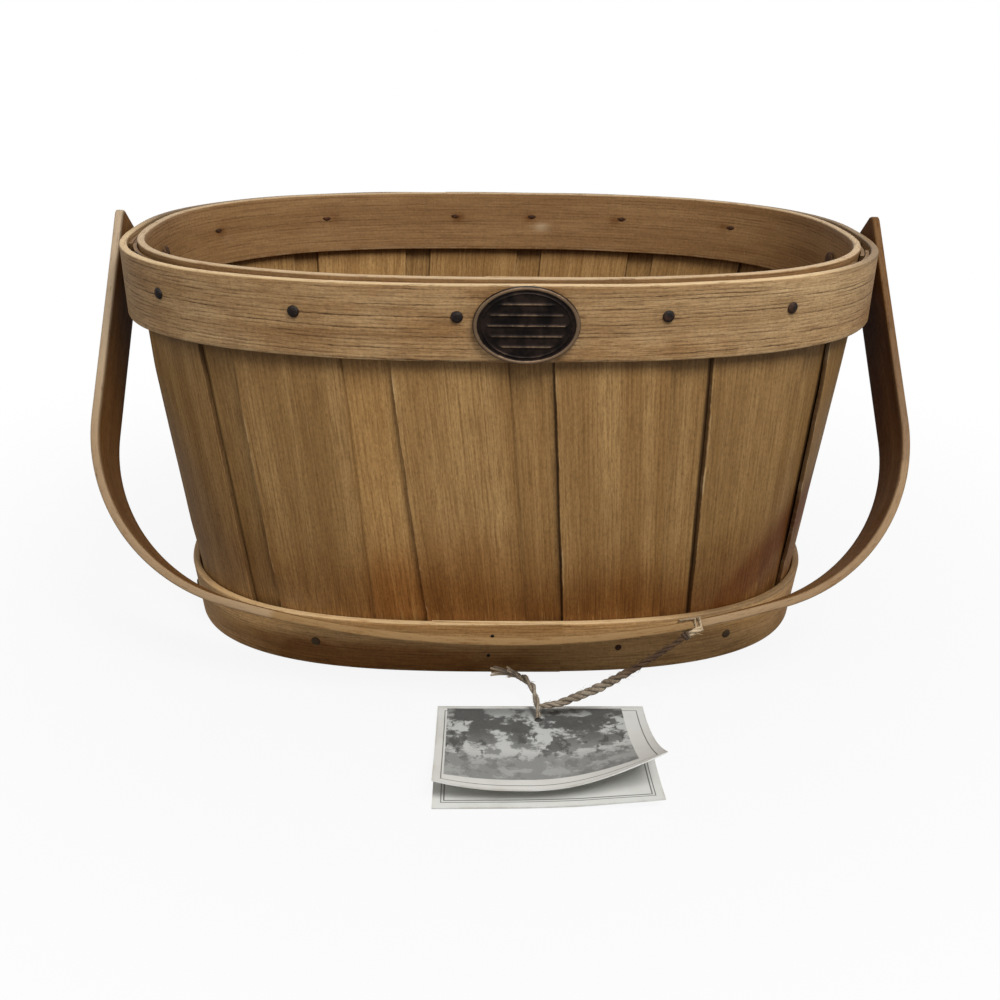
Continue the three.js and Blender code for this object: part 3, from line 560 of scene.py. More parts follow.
def make_dark_steel(name, dark, pale, dullness):
    """Dark steel, rubbed paler in places and rusted in others"""
    material, web = new_material(name)
    rub = web.speckle(web.place(), (520.0, 520.0, 520.0), 3.0, 0.6)
    rust = web.speckle(web.place(), (160.0, 160.0, 160.0), 3.0)
    colour = web.blend(web.step(rub, 0.5, 0.72), dark, pale)
    colour = web.blend(web.step(rust, 0.56, 0.72) * 0.5, colour, RUST)
    roughness = dullness + web.step(rub, 0.3, 0.7) * 0.2
    close_material(web, colour, roughness, rub, 0.6, 0.0007, metallic=0.1, specular_ior_level=0.25)
    return material


def make_plate_brass():
    """Old brass: dark patina in the hollows, rubbed bright on what stands proud.

    The relief attribute holds how proud the place stands, and the way across the plate and up it.
    """
    material, web = new_material("plate_brass")
    relief, across, up = web.split(web.attribute("relief"))
    stipple = web.noise(web.join(across * 2600.0, up * 2600.0, 0.3), 2.0, 0.6)
    cloud = web.noise(web.join(across * 160.0, up * 160.0, 0.8), 3.0, 0.6)
    rubbed = web.step(relief + (cloud - 0.5) * 0.7 + (stipple - 0.5) * 0.4, 0.42, 1.0)
    colour = web.blend(web.step(cloud, 0.35, 0.7), PATINA, THIN_PATINA)
    colour = web.blend(rubbed * 0.9, colour, RUBBED_BRASS)
    roughness = 0.5 - rubbed * 0.16 + stipple * 0.1
    close_material(web, colour, roughness, stipple, 0.35, 0.0003, metallic=0.85)
    return material


def make_twine():
    """Jute: fibres that wind round each ply, with painted shade in the hollows. Its low end is
    greyed, its high end browner and darker, partly its own colour and partly painted shade under
    the handle, its loop a paler, cleaner colour and its frayed ends pale, partly painted light.

    The lay attribute holds the turn round the ply, the way along it and the nearness to the
    twine's outside: 0 in its hollows and the knot, 1 outside and up to 2 on frayed ends.
    """
    material, web = new_material("twine")
    turn, along, outside = web.split(web.attribute("lay"))
    strand = web.noise(web.join(turn * 5.0 + along * 1500.0, along * 130.0, 0.4), 3.0, 0.7)
    tone = web.noise(web.join(along * 210.0, turn * 0.6, 0.7), 2.0)
    colour = web.blend(web.step(strand, 0.3, 0.7), JUTE_DARK, JUTE)
    colour = web.blend(web.step(tone, 0.4, 0.7) * 0.4, colour, JUTE_PALE)
    x, _, z = web.split(web.place())
    looped = web.step(x, TWINE_X - 0.006, TWINE_X - 0.0025)
    # Browner and darker up towards the loop: partly the jute's own colour, partly painted shade
    # under the handle's strip
    colour = web.darken_with(web.step(z, 0.016, 0.027) * (1.0 - looped), colour, JUTE_BROWN_AND_SHADE)
    colour = web.blend(looped * 0.6, colour, JUTE_CLEAN)
    # Painted shade in the hollows between plies, and over the whole knot
    colour = web.blend(web.fall(outside, 0.15, 0.75) * 0.6, colour, JUTE_HOLLOW_SHADE)
    # Frayed ends paler: partly the fibres' own colour, partly painted light where the handle's bow
    # shades the tail
    frayed = web.step(outside, 1.3, 1.9)
    colour = web.blend(frayed * (0.5 + strand * 0.5), colour, JUTE_FRAYED_AND_LIT)
    close_material(web, colour, 0.85 + strand * 0.1, strand, 0.5, 0.0003)
    return material


def make_tag_card():
    """Printed card: off-white stock, thin frame lines and a soft grey printed panel.

    The card attribute holds the way from the left edge, the way from the fold and the print: 1 on
    the upper leaf's outside, 0.5 on the lower leaf's inside.
    """
    material, web = new_material("tag_card")
    across, down, printed = web.split(web.attribute("card"))
    side = web.math("MINIMUM", across, TAG_WIDTH - across)
    end = web.math("MINIMUM", down, TAG_LENGTH - down)
    inset = web.math("MINIMUM", side, end)

    def line(middle, width):
        return web.fall(web.math("ABSOLUTE", inset - middle), width * 0.5, width * 0.9)

    fibre = web.noise(web.join(across * 700.0, down * 700.0, 0.2), 3.0, 0.6)
    soil = web.noise(web.join(across * 60.0, down * 60.0, 0.6), 4.0, 0.6)
    paper = web.blend(web.step(soil, 0.4, 0.75) * 0.5, PAPER, SOILED_PAPER)
    paper = web.blend(web.step(fibre, 0.55, 0.75) * 0.15, paper, PAPER_FIBRE)
    worn_edge = web.fall(inset, 0.0, 0.0011) * web.step(soil, 0.35, 0.6)
    paper = web.blend(worn_edge * 0.5, paper, WORN_PAPER)

    clouds = web.noise(web.join(across * 80.0, down * 90.0, 0.9), 5.0, 0.66)
    patches = web.noise(web.join(across * 170.0, down * 110.0, 0.4), 3.0, 0.65)
    grains = web.noise(web.join(across * 1500.0, down * 1500.0, 0.1), 1.0)
    paling = web.step(down + (clouds - 0.5) * 0.03, 0.014, 0.04)
    grey = web.blend(paling, PRINT_DARK, PRINT_GREY)
    middle = web.step(down, 0.004, 0.012) * web.fall(down, 0.034, 0.048)
    grey = web.blend(web.step(clouds, 0.48, 0.57) * (0.3 + middle * 0.5), grey, PRINT_PALE)
    grey = web.blend(web.step(patches, 0.52, 0.6) * (0.3 + middle * 0.6), grey, PRINT_BLACK)
    grey = web.blend(grains * 0.14, grey, PRINT_GRAIN)
    upper = web.step(printed, 0.6, 0.9)
    within_sides = web.step(across, 0.0042, 0.0045) * web.step(TAG_WIDTH - across, 0.0095, 0.0098)
    within_ends = web.step(down, 0.0014, 0.0017) * web.step(TAG_LENGTH - down, 0.0078, 0.0081)
    panel = within_sides * within_ends * upper
    lines = web.math("MAXIMUM", line(0.0034, 0.0003), line(0.0046, 0.0004) * (1.0 - upper))
    colour = web.blend(lines * web.step(printed, 0.1, 0.4) * 0.8, paper, LINE_INK)
    colour = web.blend(panel * 0.95, colour, grey)
    hole_across = across - float(TAIL_ROUTE[0][0] - TAG_X + TAG_WIDTH / 2)
    hole_down = down - float(TAG_FOLD_Y - TAIL_ROUTE[0][1])
    from_hole = web.math("SQRT", hole_across * hole_across + hole_down * hole_down)
    # Painted shade: a dark disc where the tail goes through the card's hole, which is not cut
    colour = web.blend(web.fall(from_hole, 0.0016, 0.002) * 0.9, colour, HOLE_SHADOW)
    roughness = 0.62 - panel * 0.2
    close_material(web, colour, roughness, fibre, 0.15, 0.0002)
    return material


STAVE_WOOD = {layer: make_stave_wood(layer + "_stave_wood", figure)
              for layer, figure in STAVE_FIGURES.items()}
HOOP_WOOD = make_hoop_wood("hoop_wood", HOOP_PALETTE, HOOP_SHARES, RAW_EDGE, 0.9, DIM_TOP)
BASE_HOOP_WOOD = make_hoop_wood("base_hoop_wood", BASE_HOOP_PALETTE, BASE_HOOP_SHARES, RAW_EDGE,
                                0.9, DIM_TOP)
INNER_HOOP_WOOD = make_hoop_wood("inner_hoop_wood", INNER_HOOP_PALETTE, INNER_HOOP_SHARES,
                                 DULL_EDGE, 0.8, PALE_SCAR)
# The handle's pale edge reaches 4.8 mm onto the face, partly a painted highlight of its lit front
# edge
HANDLE_WOOD = make_hoop_wood("handle_wood", HANDLE_PALETTE, HANDLE_SHARES, RUBBED_AND_LIT_EDGE, 0.85,
                             GREYED_EDGE, edge_reach=0.0048, shine=0.08)
BOARD_WOOD = make_board_wood()
TACK_STEEL = make_dark_steel("tack_steel", srgb(14, 7, 4), srgb(52, 36, 27), 0.5)
DULL_STEEL = make_dark_steel("dull_steel", srgb(72, 56, 36), srgb(126, 106, 76), 0.6)
RUSTY_STEEL = make_dark_steel("rusty_steel", srgb(54, 31, 16), srgb(102, 64, 36), 0.75)
RIVET_STEEL = make_dark_steel("rivet_steel", srgb(62, 40, 24), srgb(112, 80, 52), 0.7)
PLATE_BRASS = make_plate_brass()
TWINE = make_twine()
TAG_CARD = make_tag_card()


# Ovals and walls

def ways_along(path):
    """The way along a path to each of its points"""
    return np.concatenate([[0], np.cumsum(np.linalg.norm(np.diff(path, axis=0), axis=1))])


class Oval:
    """A superellipse walked by the share of its length, from the front centre towards the right
    end"""

    SAMPLES = 1440

    def __init__(self, half_length, half_width, squareness):
        angle = 2 * np.pi * np.arange(self.SAMPLES + 1) / self.SAMPLES - np.pi / 2
        swell = lambda value: np.sign(value) * np.abs(value) ** (2 / squareness)
        self.points = np.stack([half_length * swell(np.cos(angle)),
                                half_width * swell(np.sin(angle))], 1)
        self.lengths = ways_along(self.points)
        self.girth = self.lengths[-1]

    def at(self, turn):
        way = np.mod(turn, 1.0) * self.girth
        return np.stack([np.interp(way, self.lengths, self.points[:, i]) for i in (0, 1)], -1)


STAVE_FACE = HOOP_THICKNESS + CLEARANCE


def wall_ovals(depth):
    """Half length, half width and squareness of the wall's foot and head at a depth below the
    stave faces"""
    inset = STAVE_FACE + depth
    foot = (BASE_LENGTH / 2 - inset, BASE_WIDTH / 2 - inset, BASE_SQUARENESS)
    head = (RIM_LENGTH / 2 - inset, RIM_WIDTH / 2 - inset, RIM_SQUARENESS)
    return foot, head


def ruled(share, first, second, z):
    """Points at a height on the straight lines between two ovals"""
    share = np.asarray(share)[..., None]
    flat = (1 - share) * first + share * second
    heights = np.broadcast_to(np.asarray(z)[..., None], flat.shape[:-1] + (1,))
    return np.concatenate([flat, heights], -1)


class Wall:
    """The staves' wall, or a hoop against it, at a depth"""

    def __init__(self, depth):
        self.foot, self.head = (Oval(*oval) for oval in wall_ovals(depth))

    def at(self, turn, z):
        return ruled(z / HEIGHT, self.foot.at(turn), self.head.at(turn), z)


class RimHoopWall:
    """The outer rim hoop at a depth: it leans at front and back only"""

    def __init__(self, depth):
        lean = (RIM_WIDTH - BASE_WIDTH) / 2 * (RIM_HOOP_HEIGHT / HEIGHT)
        self.top = Oval(RIM_LENGTH / 2 - depth, RIM_WIDTH / 2 - depth, RIM_SQUARENESS)
        self.low = Oval(RIM_LENGTH / 2 - depth, RIM_WIDTH / 2 - lean - depth, RIM_SQUARENESS)

    def at(self, turn, z):
        return ruled((HEIGHT - z) / RIM_HOOP_HEIGHT, self.top.at(turn), self.low.at(turn), z)


WALL_DEPTH = 2 * STAVE_THICKNESS + LAYER_GAP + INSIDE_CLEARANCE
RIM_FACE, RIM_BACK = RimHoopWall(0), RimHoopWall(HOOP_THICKNESS)
INNER_FACE, INNER_BACK = Wall(WALL_DEPTH), Wall(WALL_DEPTH + HOOP_THICKNESS)
BASE_FACE, BASE_BACK = Wall(-STAVE_FACE), Wall(-CLEARANCE)


def inward_at(wall, turn, z, reach=0.001):
    """The way into a wall, square to it"""
    along = wall.at(turn + reach, z) - wall.at(turn - reach, z)
    up = wall.at(turn, z + reach) - wall.at(turn, z - reach)
    inward = np.cross(up, along)
    return inward / np.linalg.norm(inward)


# Meshes

def add_piece(name, mesh, material=None):
    piece = bpy.data.objects.new(name, mesh)
    bpy.context.scene.collection.objects.link(piece)
    if material:
        mesh.materials.append(material)
    return piece


def make_mesh(name, points, faces, attributes=None, sharp=40):
    """A mesh that faces outwards, shaded smooth up to an angle, with vectors on its points"""
    mesh = bpy.data.meshes.new(name)
    mesh.from_pydata(np.asarray(points).reshape(-1, 3).tolist(), [], faces)
    mesh.update()
    volume = sum(Vector(p.center).dot(p.normal) * p.area for p in mesh.polygons)
    if volume < 0:
        mesh.flip_normals()
    set_attributes(mesh, attributes or {})
    smooth(mesh, sharp)
    return mesh


def smooth(mesh, sharp=40):
    mesh.shade_smooth()
    mesh.set_sharp_from_angle(angle=math.radians(sharp))


def set_attributes(mesh, attributes):
    for name, values in attributes.items():
        layer = mesh.attributes.new(name, "FLOAT_VECTOR", "POINT")
        layer.data.foreach_set("vector", np.asarray(values, np.float32).reshape(-1))


def loft_faces(rings, count):
    """Quads through rows of points that are closed loops"""
    faces = []
    for start in range(0, (rings - 1) * count, count):
        for j in range(count):
            k = (j + 1) % count
            faces.append((start + j, start + k, start + count + k, start + count + j))
    return faces


def strip_faces(rings, count):
    """A loft closed with quads across its first and last rows"""
    faces = loft_faces(rings, count)
    last = (rings - 1) * count
    for j in range(count // 2 - 1):
        a, b, c, d = j, j + 1, count - 2 - j, count - 1 - j
        faces.append((d, c, b, a))
        faces.append((last + a, last + b, last + c, last + d))
    return faces


def turned_faces(rings, count):
    """A loft closed with one face over its first row and one over its last"""
    last = (rings - 1) * count
    caps = [tuple(range(count - 1, -1, -1)), tuple(range(last, last + count))]
    return loft_faces(rings, count) + caps


def round_angles(sides):
    return [2 * math.pi * k / sides for k in range(sides)]


def rounded_strip(width, thickness, radius, face_steps, corner_steps=3):
    """A strip's outline as points across its width and through its thickness, starting at the
    end of one face so that opposite points pair up"""
    half_width, half = width / 2, thickness / 2
    angles = np.linspace(0, np.pi / 2, corner_steps + 1)
    corner = np.stack([np.sin(angles), np.cos(angles)], 1) * radius
    run = np.linspace(-half_width + radius, half_width - radius, face_steps + 1)
    front = [(x, -half) for x in run]
    right = [(half_width - radius + c[0], -half + radius - c[1]) for c in corner[1:]]
    right += [(half_width - radius + c[0], half - radius + c[1]) for c in corner[::-1]]
    back = [(x, half) for x in run[::-1][1:]]
    left = [(-half_width + radius - c[0], half - radius + c[1]) for c in corner[1:]]
    left += [(-half_width + radius - c[0], -half + radius - c[1]) for c in corner[::-1][:-1]]
    return np.array(front + right + back + left)


def drift(*place):
    """Smooth repeatable noise, about -1 to 1"""
    return noise.noise(Vector(place))


# Staves, by Geometry Nodes

def make_oval_tree():
    """A superellipse as a curve, the same as an Oval"""
    group, web, given = new_group(
        "oval", "GeometryNodeTree",
        floats("Half Length", "Half Width", "Squareness"), [("Curve", "Geometry")],
    )
    circle = web.get("GeometryNodeCurvePrimitiveCircle",
                     {"Resolution": Oval.SAMPLES, "Radius": 1.0})
    index = web.get("GeometryNodeInputIndex")
    angle = index * (2 * math.pi / Oval.SAMPLES) - math.pi / 2
    power = 2.0 / given["Squareness"]

    def swell(value):
        return web.math("SIGN", value) * web.math("ABSOLUTE", value) ** power

    x = given["Half Length"] * swell(web.math("COSINE", angle))
    y = given["Half Width"] * swell(web.math("SINE", angle))
    curve = web.get("GeometryNodeSetPosition",
                    {"Geometry": circle, "Position": web.join(x, y, 0.0)})
    close_group(web, {"Curve": curve})
    return group


def close_dressed(web, geometry, material):
    """End a tree in plain geometry with its material"""
    solid = web.get("GeometryNodeRealizeInstances", {"Geometry": geometry})
    dressed = web.get("GeometryNodeSetMaterial", {"Geometry": solid, "Material": material})
    close_group(web, {"Geometry": dressed})


def make_stave_tree():
    """One stave: a thin board on the wall between two ovals, leaning, with torn long edges, a left
    edge that springs a little away from the wall between the hoops, and a slight ripple"""
    group, web, given = new_group(
        "stave", "GeometryNodeTree",
        [*floats("Left", "Share", "Slant", "Width", "Depth", "Thickness", "Top", "Ragged",
                 "Spring", "Ripple", "Tone", "Seed"), ("Material", "Material")],
        [("Geometry", "Geometry")],
    )
    block = web.get("GeometryNodeMeshCube", {"Size": (1, 1, 1), **STAVE_POINTS}, output="Mesh")
    block_x, block_y, block_z = web.split(web.get("GeometryNodeInputPosition"))
    across = 0.5 - web.math("COSINE", (block_x + 0.5) * math.pi) * 0.5
    rise = block_z + 0.5
    z = rise * given["Top"]
    side = web.math("ABSOLUTE", across * 2.0 - 1.0)
    rim = web.math("GREATER_THAN", side, 0.9999)
    depth = 0.5 + block_y * (1.0 - rim * 0.35)

    which = web.math("GREATER_THAN", across, 0.5)
    coarse = web.noise(web.join(z * 55.0, which * 3.7 + given["Seed"], 0.5), 1.0) - 0.5
    fine = web.noise(web.join(z * 420.0, which * 5.3 + given["Seed"], 1.5), 2.0, 0.7) - 0.5
    tear = (coarse * 1.3 + fine * 1.2) * given["Ragged"] * side ** 14.0
    turn = given["Left"] + given["Share"] * (across + tear / given["Width"])

    def on_oval(length, width, squareness, inset, where):
        sizes = {"Half Length": length / 2 - inset, "Half Width": width / 2 - inset,
                 "Squareness": squareness}
        oval = web.get("GeometryNodeGroup", sizes, node_tree=OVAL_TREE)
        return web.get("GeometryNodeSampleCurve",
                       {"Curves": oval, "Factor": web.math("FRACT", where)},
                       output="Position", mode="FACTOR")

    def on_wall(depth_below):
        inset = depth_below + STAVE_FACE
        foot = on_oval(BASE_LENGTH, BASE_WIDTH, BASE_SQUARENESS, inset, turn + given["Slant"])
        head = on_oval(RIM_LENGTH, RIM_WIDTH, RIM_SQUARENESS, inset, turn)
        return web.vector("ADD", foot, web.scaled(web.vector("SUBTRACT", head, foot), z / HEIGHT))

    face = on_wall(given["Depth"])
    back = on_wall(given["Depth"] + given["Thickness"])
    outward = web.vector("NORMALIZE", web.vector("SUBTRACT", face, back))
    flat = web.vector("ADD", face, web.scaled(web.vector("SUBTRACT", back, face), depth))
    free = web.step(z, 0.03, 0.055) * web.fall(z, 0.128, 0.152)
    wave = web.noise(web.join(across * 1.7 + given["Seed"], z * 17.0, 0.5), 1.0)
    lift = (given["Spring"] * (1.0 - across) ** 7.0 + given["Ripple"] * wave) * free
    bent = web.vector("ADD", flat, web.scaled(outward, lift))
    placed = web.vector("ADD", bent, web.join(0.0, 0.0, z))

    # Attributes are worked out from the block before it is placed.
    own = given["Seed"] * 0.3713
    from_left = across * given["Width"]
    from_right = (1.0 - across) * given["Width"]
    for name, value in (
        ("grain", web.join(from_left + own, depth * given["Thickness"], z + own * 2.0)),
        ("sides", web.join(from_left, from_right, given["Tone"])),
        ("seam", web.join(turn + given["Slant"] * (1.0 - z / HEIGHT), z, 0.0)),
    ):
        block = web.get("GeometryNodeStoreNamedAttribute",
                        {"Geometry": block, "Name": name, "Value": value},
                        data_type="FLOAT_VECTOR", domain="POINT")
    board = web.get("GeometryNodeSetPosition", {"Geometry": block, "Position": placed})
    close_dressed(web, board, given["Material"])
    return group


def grown(name, tree, seedling, **inputs):
    """A piece made by a Geometry Nodes tree, turned into a plain mesh"""
    maker = add_piece(name + "_maker", seedling)
    modifier = maker.modifiers.new("grow", "NODES")
    modifier.node_group = tree
    for item in tree.interface.items_tree:
        size = item.name.replace(" ", "_").lower()
        if item.in_out == "INPUT" and size in inputs:
            modifier[item.identifier] = inputs[size]
    graph = bpy.context.evaluated_depsgraph_get()
    mesh = bpy.data.meshes.new_from_object(maker.evaluated_get(graph), depsgraph=graph,
                                           preserve_all_data_layers=True)
    maker.modifiers.remove(modifier)
    bpy.data.objects.remove(maker)
    mesh.name = name
    smooth(mesh)
    return add_piece(name, mesh)


OVAL_TREE = make_oval_tree()
STAVE_TREE = make_stave_tree()
MID_STRAY = (FOOT_STRAY + np.roll(FOOT_STRAY, -1)) / 2
OUTER_TONES = [0.94, 0.82, 0.84, 0.95, 1.02, 0.93, 1.0, 0.9, 1.05, 0.97, 0.92, 0.9, 0.93, 0.99]
INNER_TONES = [0.9, 0.84, 0.95, 1.0, 0.93, 1.04, 1.06, 1.12, 1.04, 1.08, 0.96, 0.9, 1.26, 0.99]
OUTER_SEED, INNER_SEED, SEED_STEP = 1, 51, 3
UNDER_NOTHING = (1.0, 1.0, 0.0)


def seam_distances(mesh, girth, slants):
    """How far each point of an inner stave lies outside the left and right edges of the outer
    staves"""
    values = np.zeros(len(mesh.vertices) * 3, np.float32)
    mesh.attributes["seam"].data.foreach_get("vector", values)
    values = values.reshape(-1, 3).astype(float)
    turn, z = values[:, 0], values[:, 1]
    lean = np.outer(1 - z / HEIGHT, slants)
    left_edges = (OUTER_START + np.arange(STAVE_COUNT)) / STAVE_COUNT + lean
    right_edges = left_edges + OUTER_SHARE / STAVE_COUNT
    wrap = lambda share: np.mod(share + 0.5, 1.0) - 0.5
    half_gap = 0.5 / STAVE_COUNT
    out_left = wrap(left_edges - turn[:, None])
    out_right = wrap(turn[:, None] - right_edges)
    nearest = lambda out: np.where(np.abs(out) < half_gap, out, half_gap).min(1) * girth
    return np.stack([nearest(out_left), nearest(out_right), z], 1)


def make_staves():
    girth = Oval(*wall_ovals(0)[1]).girth
    seedling = bpy.data.meshes.new("stave_block")
    outer_slants = (STAVE_SLANT + FOOT_STRAY) / girth
    for layer, share, start, stray, tones, depth, ragged, spring, ripple, seed in (
        ("outer", OUTER_SHARE, OUTER_START, FOOT_STRAY, OUTER_TONES, 0.0,
         OUTER_RAGGED, OUTER_SPRING, OUTER_RIPPLE, OUTER_SEED),
        ("inner", INNER_SHARE, INNER_START, MID_STRAY, INNER_TONES, STAVE_THICKNESS + LAYER_GAP,
         INNER_RAGGED, 0.0, 0.0, INNER_SEED),
    ):
        layer_girth = Oval(*wall_ovals(depth)[1]).girth
        for i in range(STAVE_COUNT):
            stave = grown(
                f"{layer}_stave_board_{i + 1:02d}", STAVE_TREE, seedling,
                left=(start + i) / STAVE_COUNT, share=share / STAVE_COUNT,
                slant=(STAVE_SLANT + stray[i]) / layer_girth,
                width=layer_girth * share / STAVE_COUNT, depth=depth, thickness=STAVE_THICKNESS,
                top=STAVE_TOP, ragged=ragged, spring=spring, ripple=ripple, tone=tones[i],
                seed=float(seed + SEED_STEP * i), material=STAVE_WOOD[layer],
            )
            if layer == "outer":
                seam = np.tile(UNDER_NOTHING, (len(stave.data.vertices), 1))
            else:
                seam = seam_distances(stave.data, layer_girth, outer_slants)
            stored = stave.data.attributes["seam"].data
            stored.foreach_set("vector", seam.astype(np.float32).ravel())
            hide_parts(f"{layer}_stave_{i + 1:02d}")
            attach(stave, "basket")


# Hoops

# How strongly the pale cut edge shows, how far dirt and painted shade darken the face and where it
# is marked, at points on a hoop; the share is the height on the hoop

def rim_wear(ring, share):
    """The outer rim hoop: darkened across the front except towards its right, and more along the
    lower edge there. Its top edge is darker, with less of its pale cut colour, at the back and at
    the right end."""
    x, y = ring[:, 0], ring[:, 1]
    front = np.interp(x, [-0.18, -0.12, -0.05, 0.01, 0.06, 0.11, 0.15, 0.178],
                      [0.42, 0.4, 0.5, 0.66, 0.36, 0.0, 0.1, 0.5])
    low = 0.3 * np.interp(share, [0.0, 0.2, 0.4], [1, 0.9, 0]) * np.interp(x, [0.03, 0.07], [0, 1])
    behind = np.interp(y, [-0.02, 0.03], [0, 1])
    dimmed_top = (share > 0.97) * np.maximum(behind, np.interp(x, [0.13, 0.165], [0, 0.8]))
    return np.stack([1 - 0.9 * dimmed_top, np.where(y < 0, front + low, 0.3), dimmed_top], 1)


def inner_wear(ring, _share):
    """The inner rim hoop: rust round each tack's clinch and a pale scar beside some of them"""
    grime_and_shade, scar = np.full(len(ring), 0.2), np.zeros(len(ring))
    for i, turn in enumerate(RIM_TACK_TURNS):
        off = ring - INNER_BACK.at(turn, RIM_TACK_Z)
        around = off[:, 0] ** 2 + off[:, 1] ** 2 + 2 * off[:, 2] ** 2
        grime_and_shade += 0.8 * np.exp(-around / 0.0034 ** 2)
        if i % 3 == 1:
            beside = off - [0.007, 0.0, -0.005]
            narrow = beside[:, 1] ** 2 + 3 * beside[:, 2] ** 2
            scar += 0.7 * np.exp(-(beside[:, 0] / 0.004) ** 2 - narrow / 0.003 ** 2)
    return np.stack([np.ones(len(ring)), grime_and_shade, np.minimum(scar, 1)], 1)


def base_wear(ring, share):
    """The base hoop: painted shade fades its pale cut edge towards the ends and darkens its
    right end, its top edge is darker at the right, and the shadow of the handle's bow is painted
    on its front"""
    x, y = ring[:, 0], ring[:, 1]
    # Painted shade: the pale cut edge fades towards the hoop's ends
    edge_paleness = np.interp(x, [-0.157, -0.135, -0.1, 0.0, 0.07, 0.1, 0.157],
                      [0.25, 0.4, 0.8, 0.85, 0.7, 0.15, 0.0])
    # Painted shadow of the handle's bow on the front, deepest low down, left of the middle
    under = np.interp(share, [0.45, 0.66], [0.95, 0])
    under = under * np.interp(x, [-0.14, -0.09, -0.02, 0.015, 0.05], [0.25, 1, 1, 0.5, 0.05])
    # Painted shade towards the right end
    right_end = np.interp(x, [0.13, 0.15], [0, 0.5])
    dimmed_top = (share > 0.93) * np.interp(x, [0.06, 0.1], [0, 0.9])
    return np.stack([edge_paleness, np.where(y < 0, under, 0.3) + right_end, dimmed_top], 1)


def make_hoop(name, face, back, girth, low, high, lap_turn, tone, seed, wood, worn):
    """A strip bent once round the basket, its ends tapered to lap over each other"""
    lap = HOOP_LAP / girth
    tip = HOOP_TIP / HOOP_THICKNESS
    lap_gap = CLEARANCE / HOOP_THICKNESS / 2
    slope = lambda share: tip + (1 - 2 * tip) * share
    outline = rounded_strip(high - low, HOOP_THICKNESS, HOOP_CORNER, HOOP_FACE_STEPS)
    count = len(outline)
    z = (low + high) / 2 + outline[:, 0]
    share = (z - low) / (high - low)
    points, grain, rim, wear = [], [], [], []
    for i in range(HOOP_STEPS + 1):
        along = i / HOOP_STEPS * (1 + lap)
        outer = 1 - slope(along / lap) + lap_gap if along < lap else 0.0
        inner = 1 - slope((along - 1) / lap) - lap_gap if along > 1 else 1.0
        depth = outer + (outline[:, 1] / HOOP_THICKNESS + 0.5) * (inner - outer)
        way = along * girth
        top_stray = HOOP_UNEVEN * drift(way * 21, seed, 0.3)
        foot_stray = HOOP_UNEVEN * drift(way * 26, seed, 4.3) if low > 0 else 0.0
        z_shown = z + top_stray * share + foot_stray * (1 - share)
        turns = np.full(count, lap_turn + along)
        ring = face.at(turns, z_shown)
        ring = ring + (back.at(turns, z_shown) - ring) * depth[:, None]
        points.append(ring)
        grain.append(np.stack([z + seed, depth * HOOP_THICKNESS, np.full(count, way + seed)], 1))
        rim.append(np.stack([high - z, z - low, np.full(count, tone)], 1))
        wear.append(worn(ring, share))
    mesh = make_mesh(name, points, strip_faces(HOOP_STEPS + 1, count),
                     {"grain": grain, "rim": rim, "wear": wear})
    return add_piece(name, mesh, wood)


def make_hoops():
    foot = HEIGHT - RIM_HOOP_HEIGHT
    inner_top = HEIGHT + INNER_HOOP_RISE
    for name, face, back, girth, low, high, lap_turn, tone, seed, wood, worn, node in (
        ("outer_rim_band", RIM_FACE, RIM_BACK, RIM_FACE.top.girth, foot, HEIGHT,
         RIM_LAP_TURN, 1.18, 0.31, HOOP_WOOD, rim_wear, "outer_rim_hoop"),
        ("inner_rim_band", INNER_FACE, INNER_BACK, INNER_FACE.head.girth,
         inner_top - RIM_HOOP_HEIGHT, inner_top,
         INNER_LAP_TURN, 0.98, 1.73, INNER_HOOP_WOOD, inner_wear, "inner_rim_hoop"),
        ("base_band", BASE_FACE, BASE_BACK, BASE_FACE.foot.girth, 0.0, BASE_HOOP_HEIGHT,
         BASE_LAP_TURN, 1.26, 2.57, BASE_HOOP_WOOD, base_wear, "base_hoop"),
    ):
        band = make_hoop(name, face, back, girth, low, high, lap_turn, tone, seed, wood, worn)
        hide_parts(node)
        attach(band, "basket")


def make_board():
    turns = np.arange(BOARD_STEPS) / BOARD_STEPS
    edge = []
    for z, inset in BOARD_EDGE:
        shrink = 1 - inset / BOARD_HALF_WIDTH
        edge.append(INNER_FACE.at(turns, np.full(BOARD_STEPS, z)) * (shrink, shrink, 1))
    underside = [edge[0] * (shrink, shrink, 1) for shrink in BOARD_RINGS[::-1]]
    top = [edge[-1] * (shrink, shrink, 1) for shrink in BOARD_RINGS]
    rows = underside + edge + top
    points = np.concatenate(rows)
    faces = turned_faces(len(rows), BOARD_STEPS)
    grain = np.stack([points[:, 1], points[:, 2], points[:, 0] + 0.7], 1)
    mesh = make_mesh("floor_board", points, faces, {"grain": grain})
    board = add_piece("floor_board", mesh, BOARD_WOOD)
    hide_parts("base_board")
    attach(board, "basket")


# Turned metal pieces

def lathe(profile, sides, origin, axis):
    """Points and faces of a profile of radii and ways along an axis, closed at both ends"""
    turn = Vector((0, 0, 1)).rotation_difference(Vector(axis).normalized())
    points = []
    for radius, along in profile:
        for angle in round_angles(sides):
            place = Vector((radius * math.cos(angle), radius * math.sin(angle), along))
            points.append(tuple(Vector(origin) + turn @ place))
    return points, turned_faces(len(profile), sides)


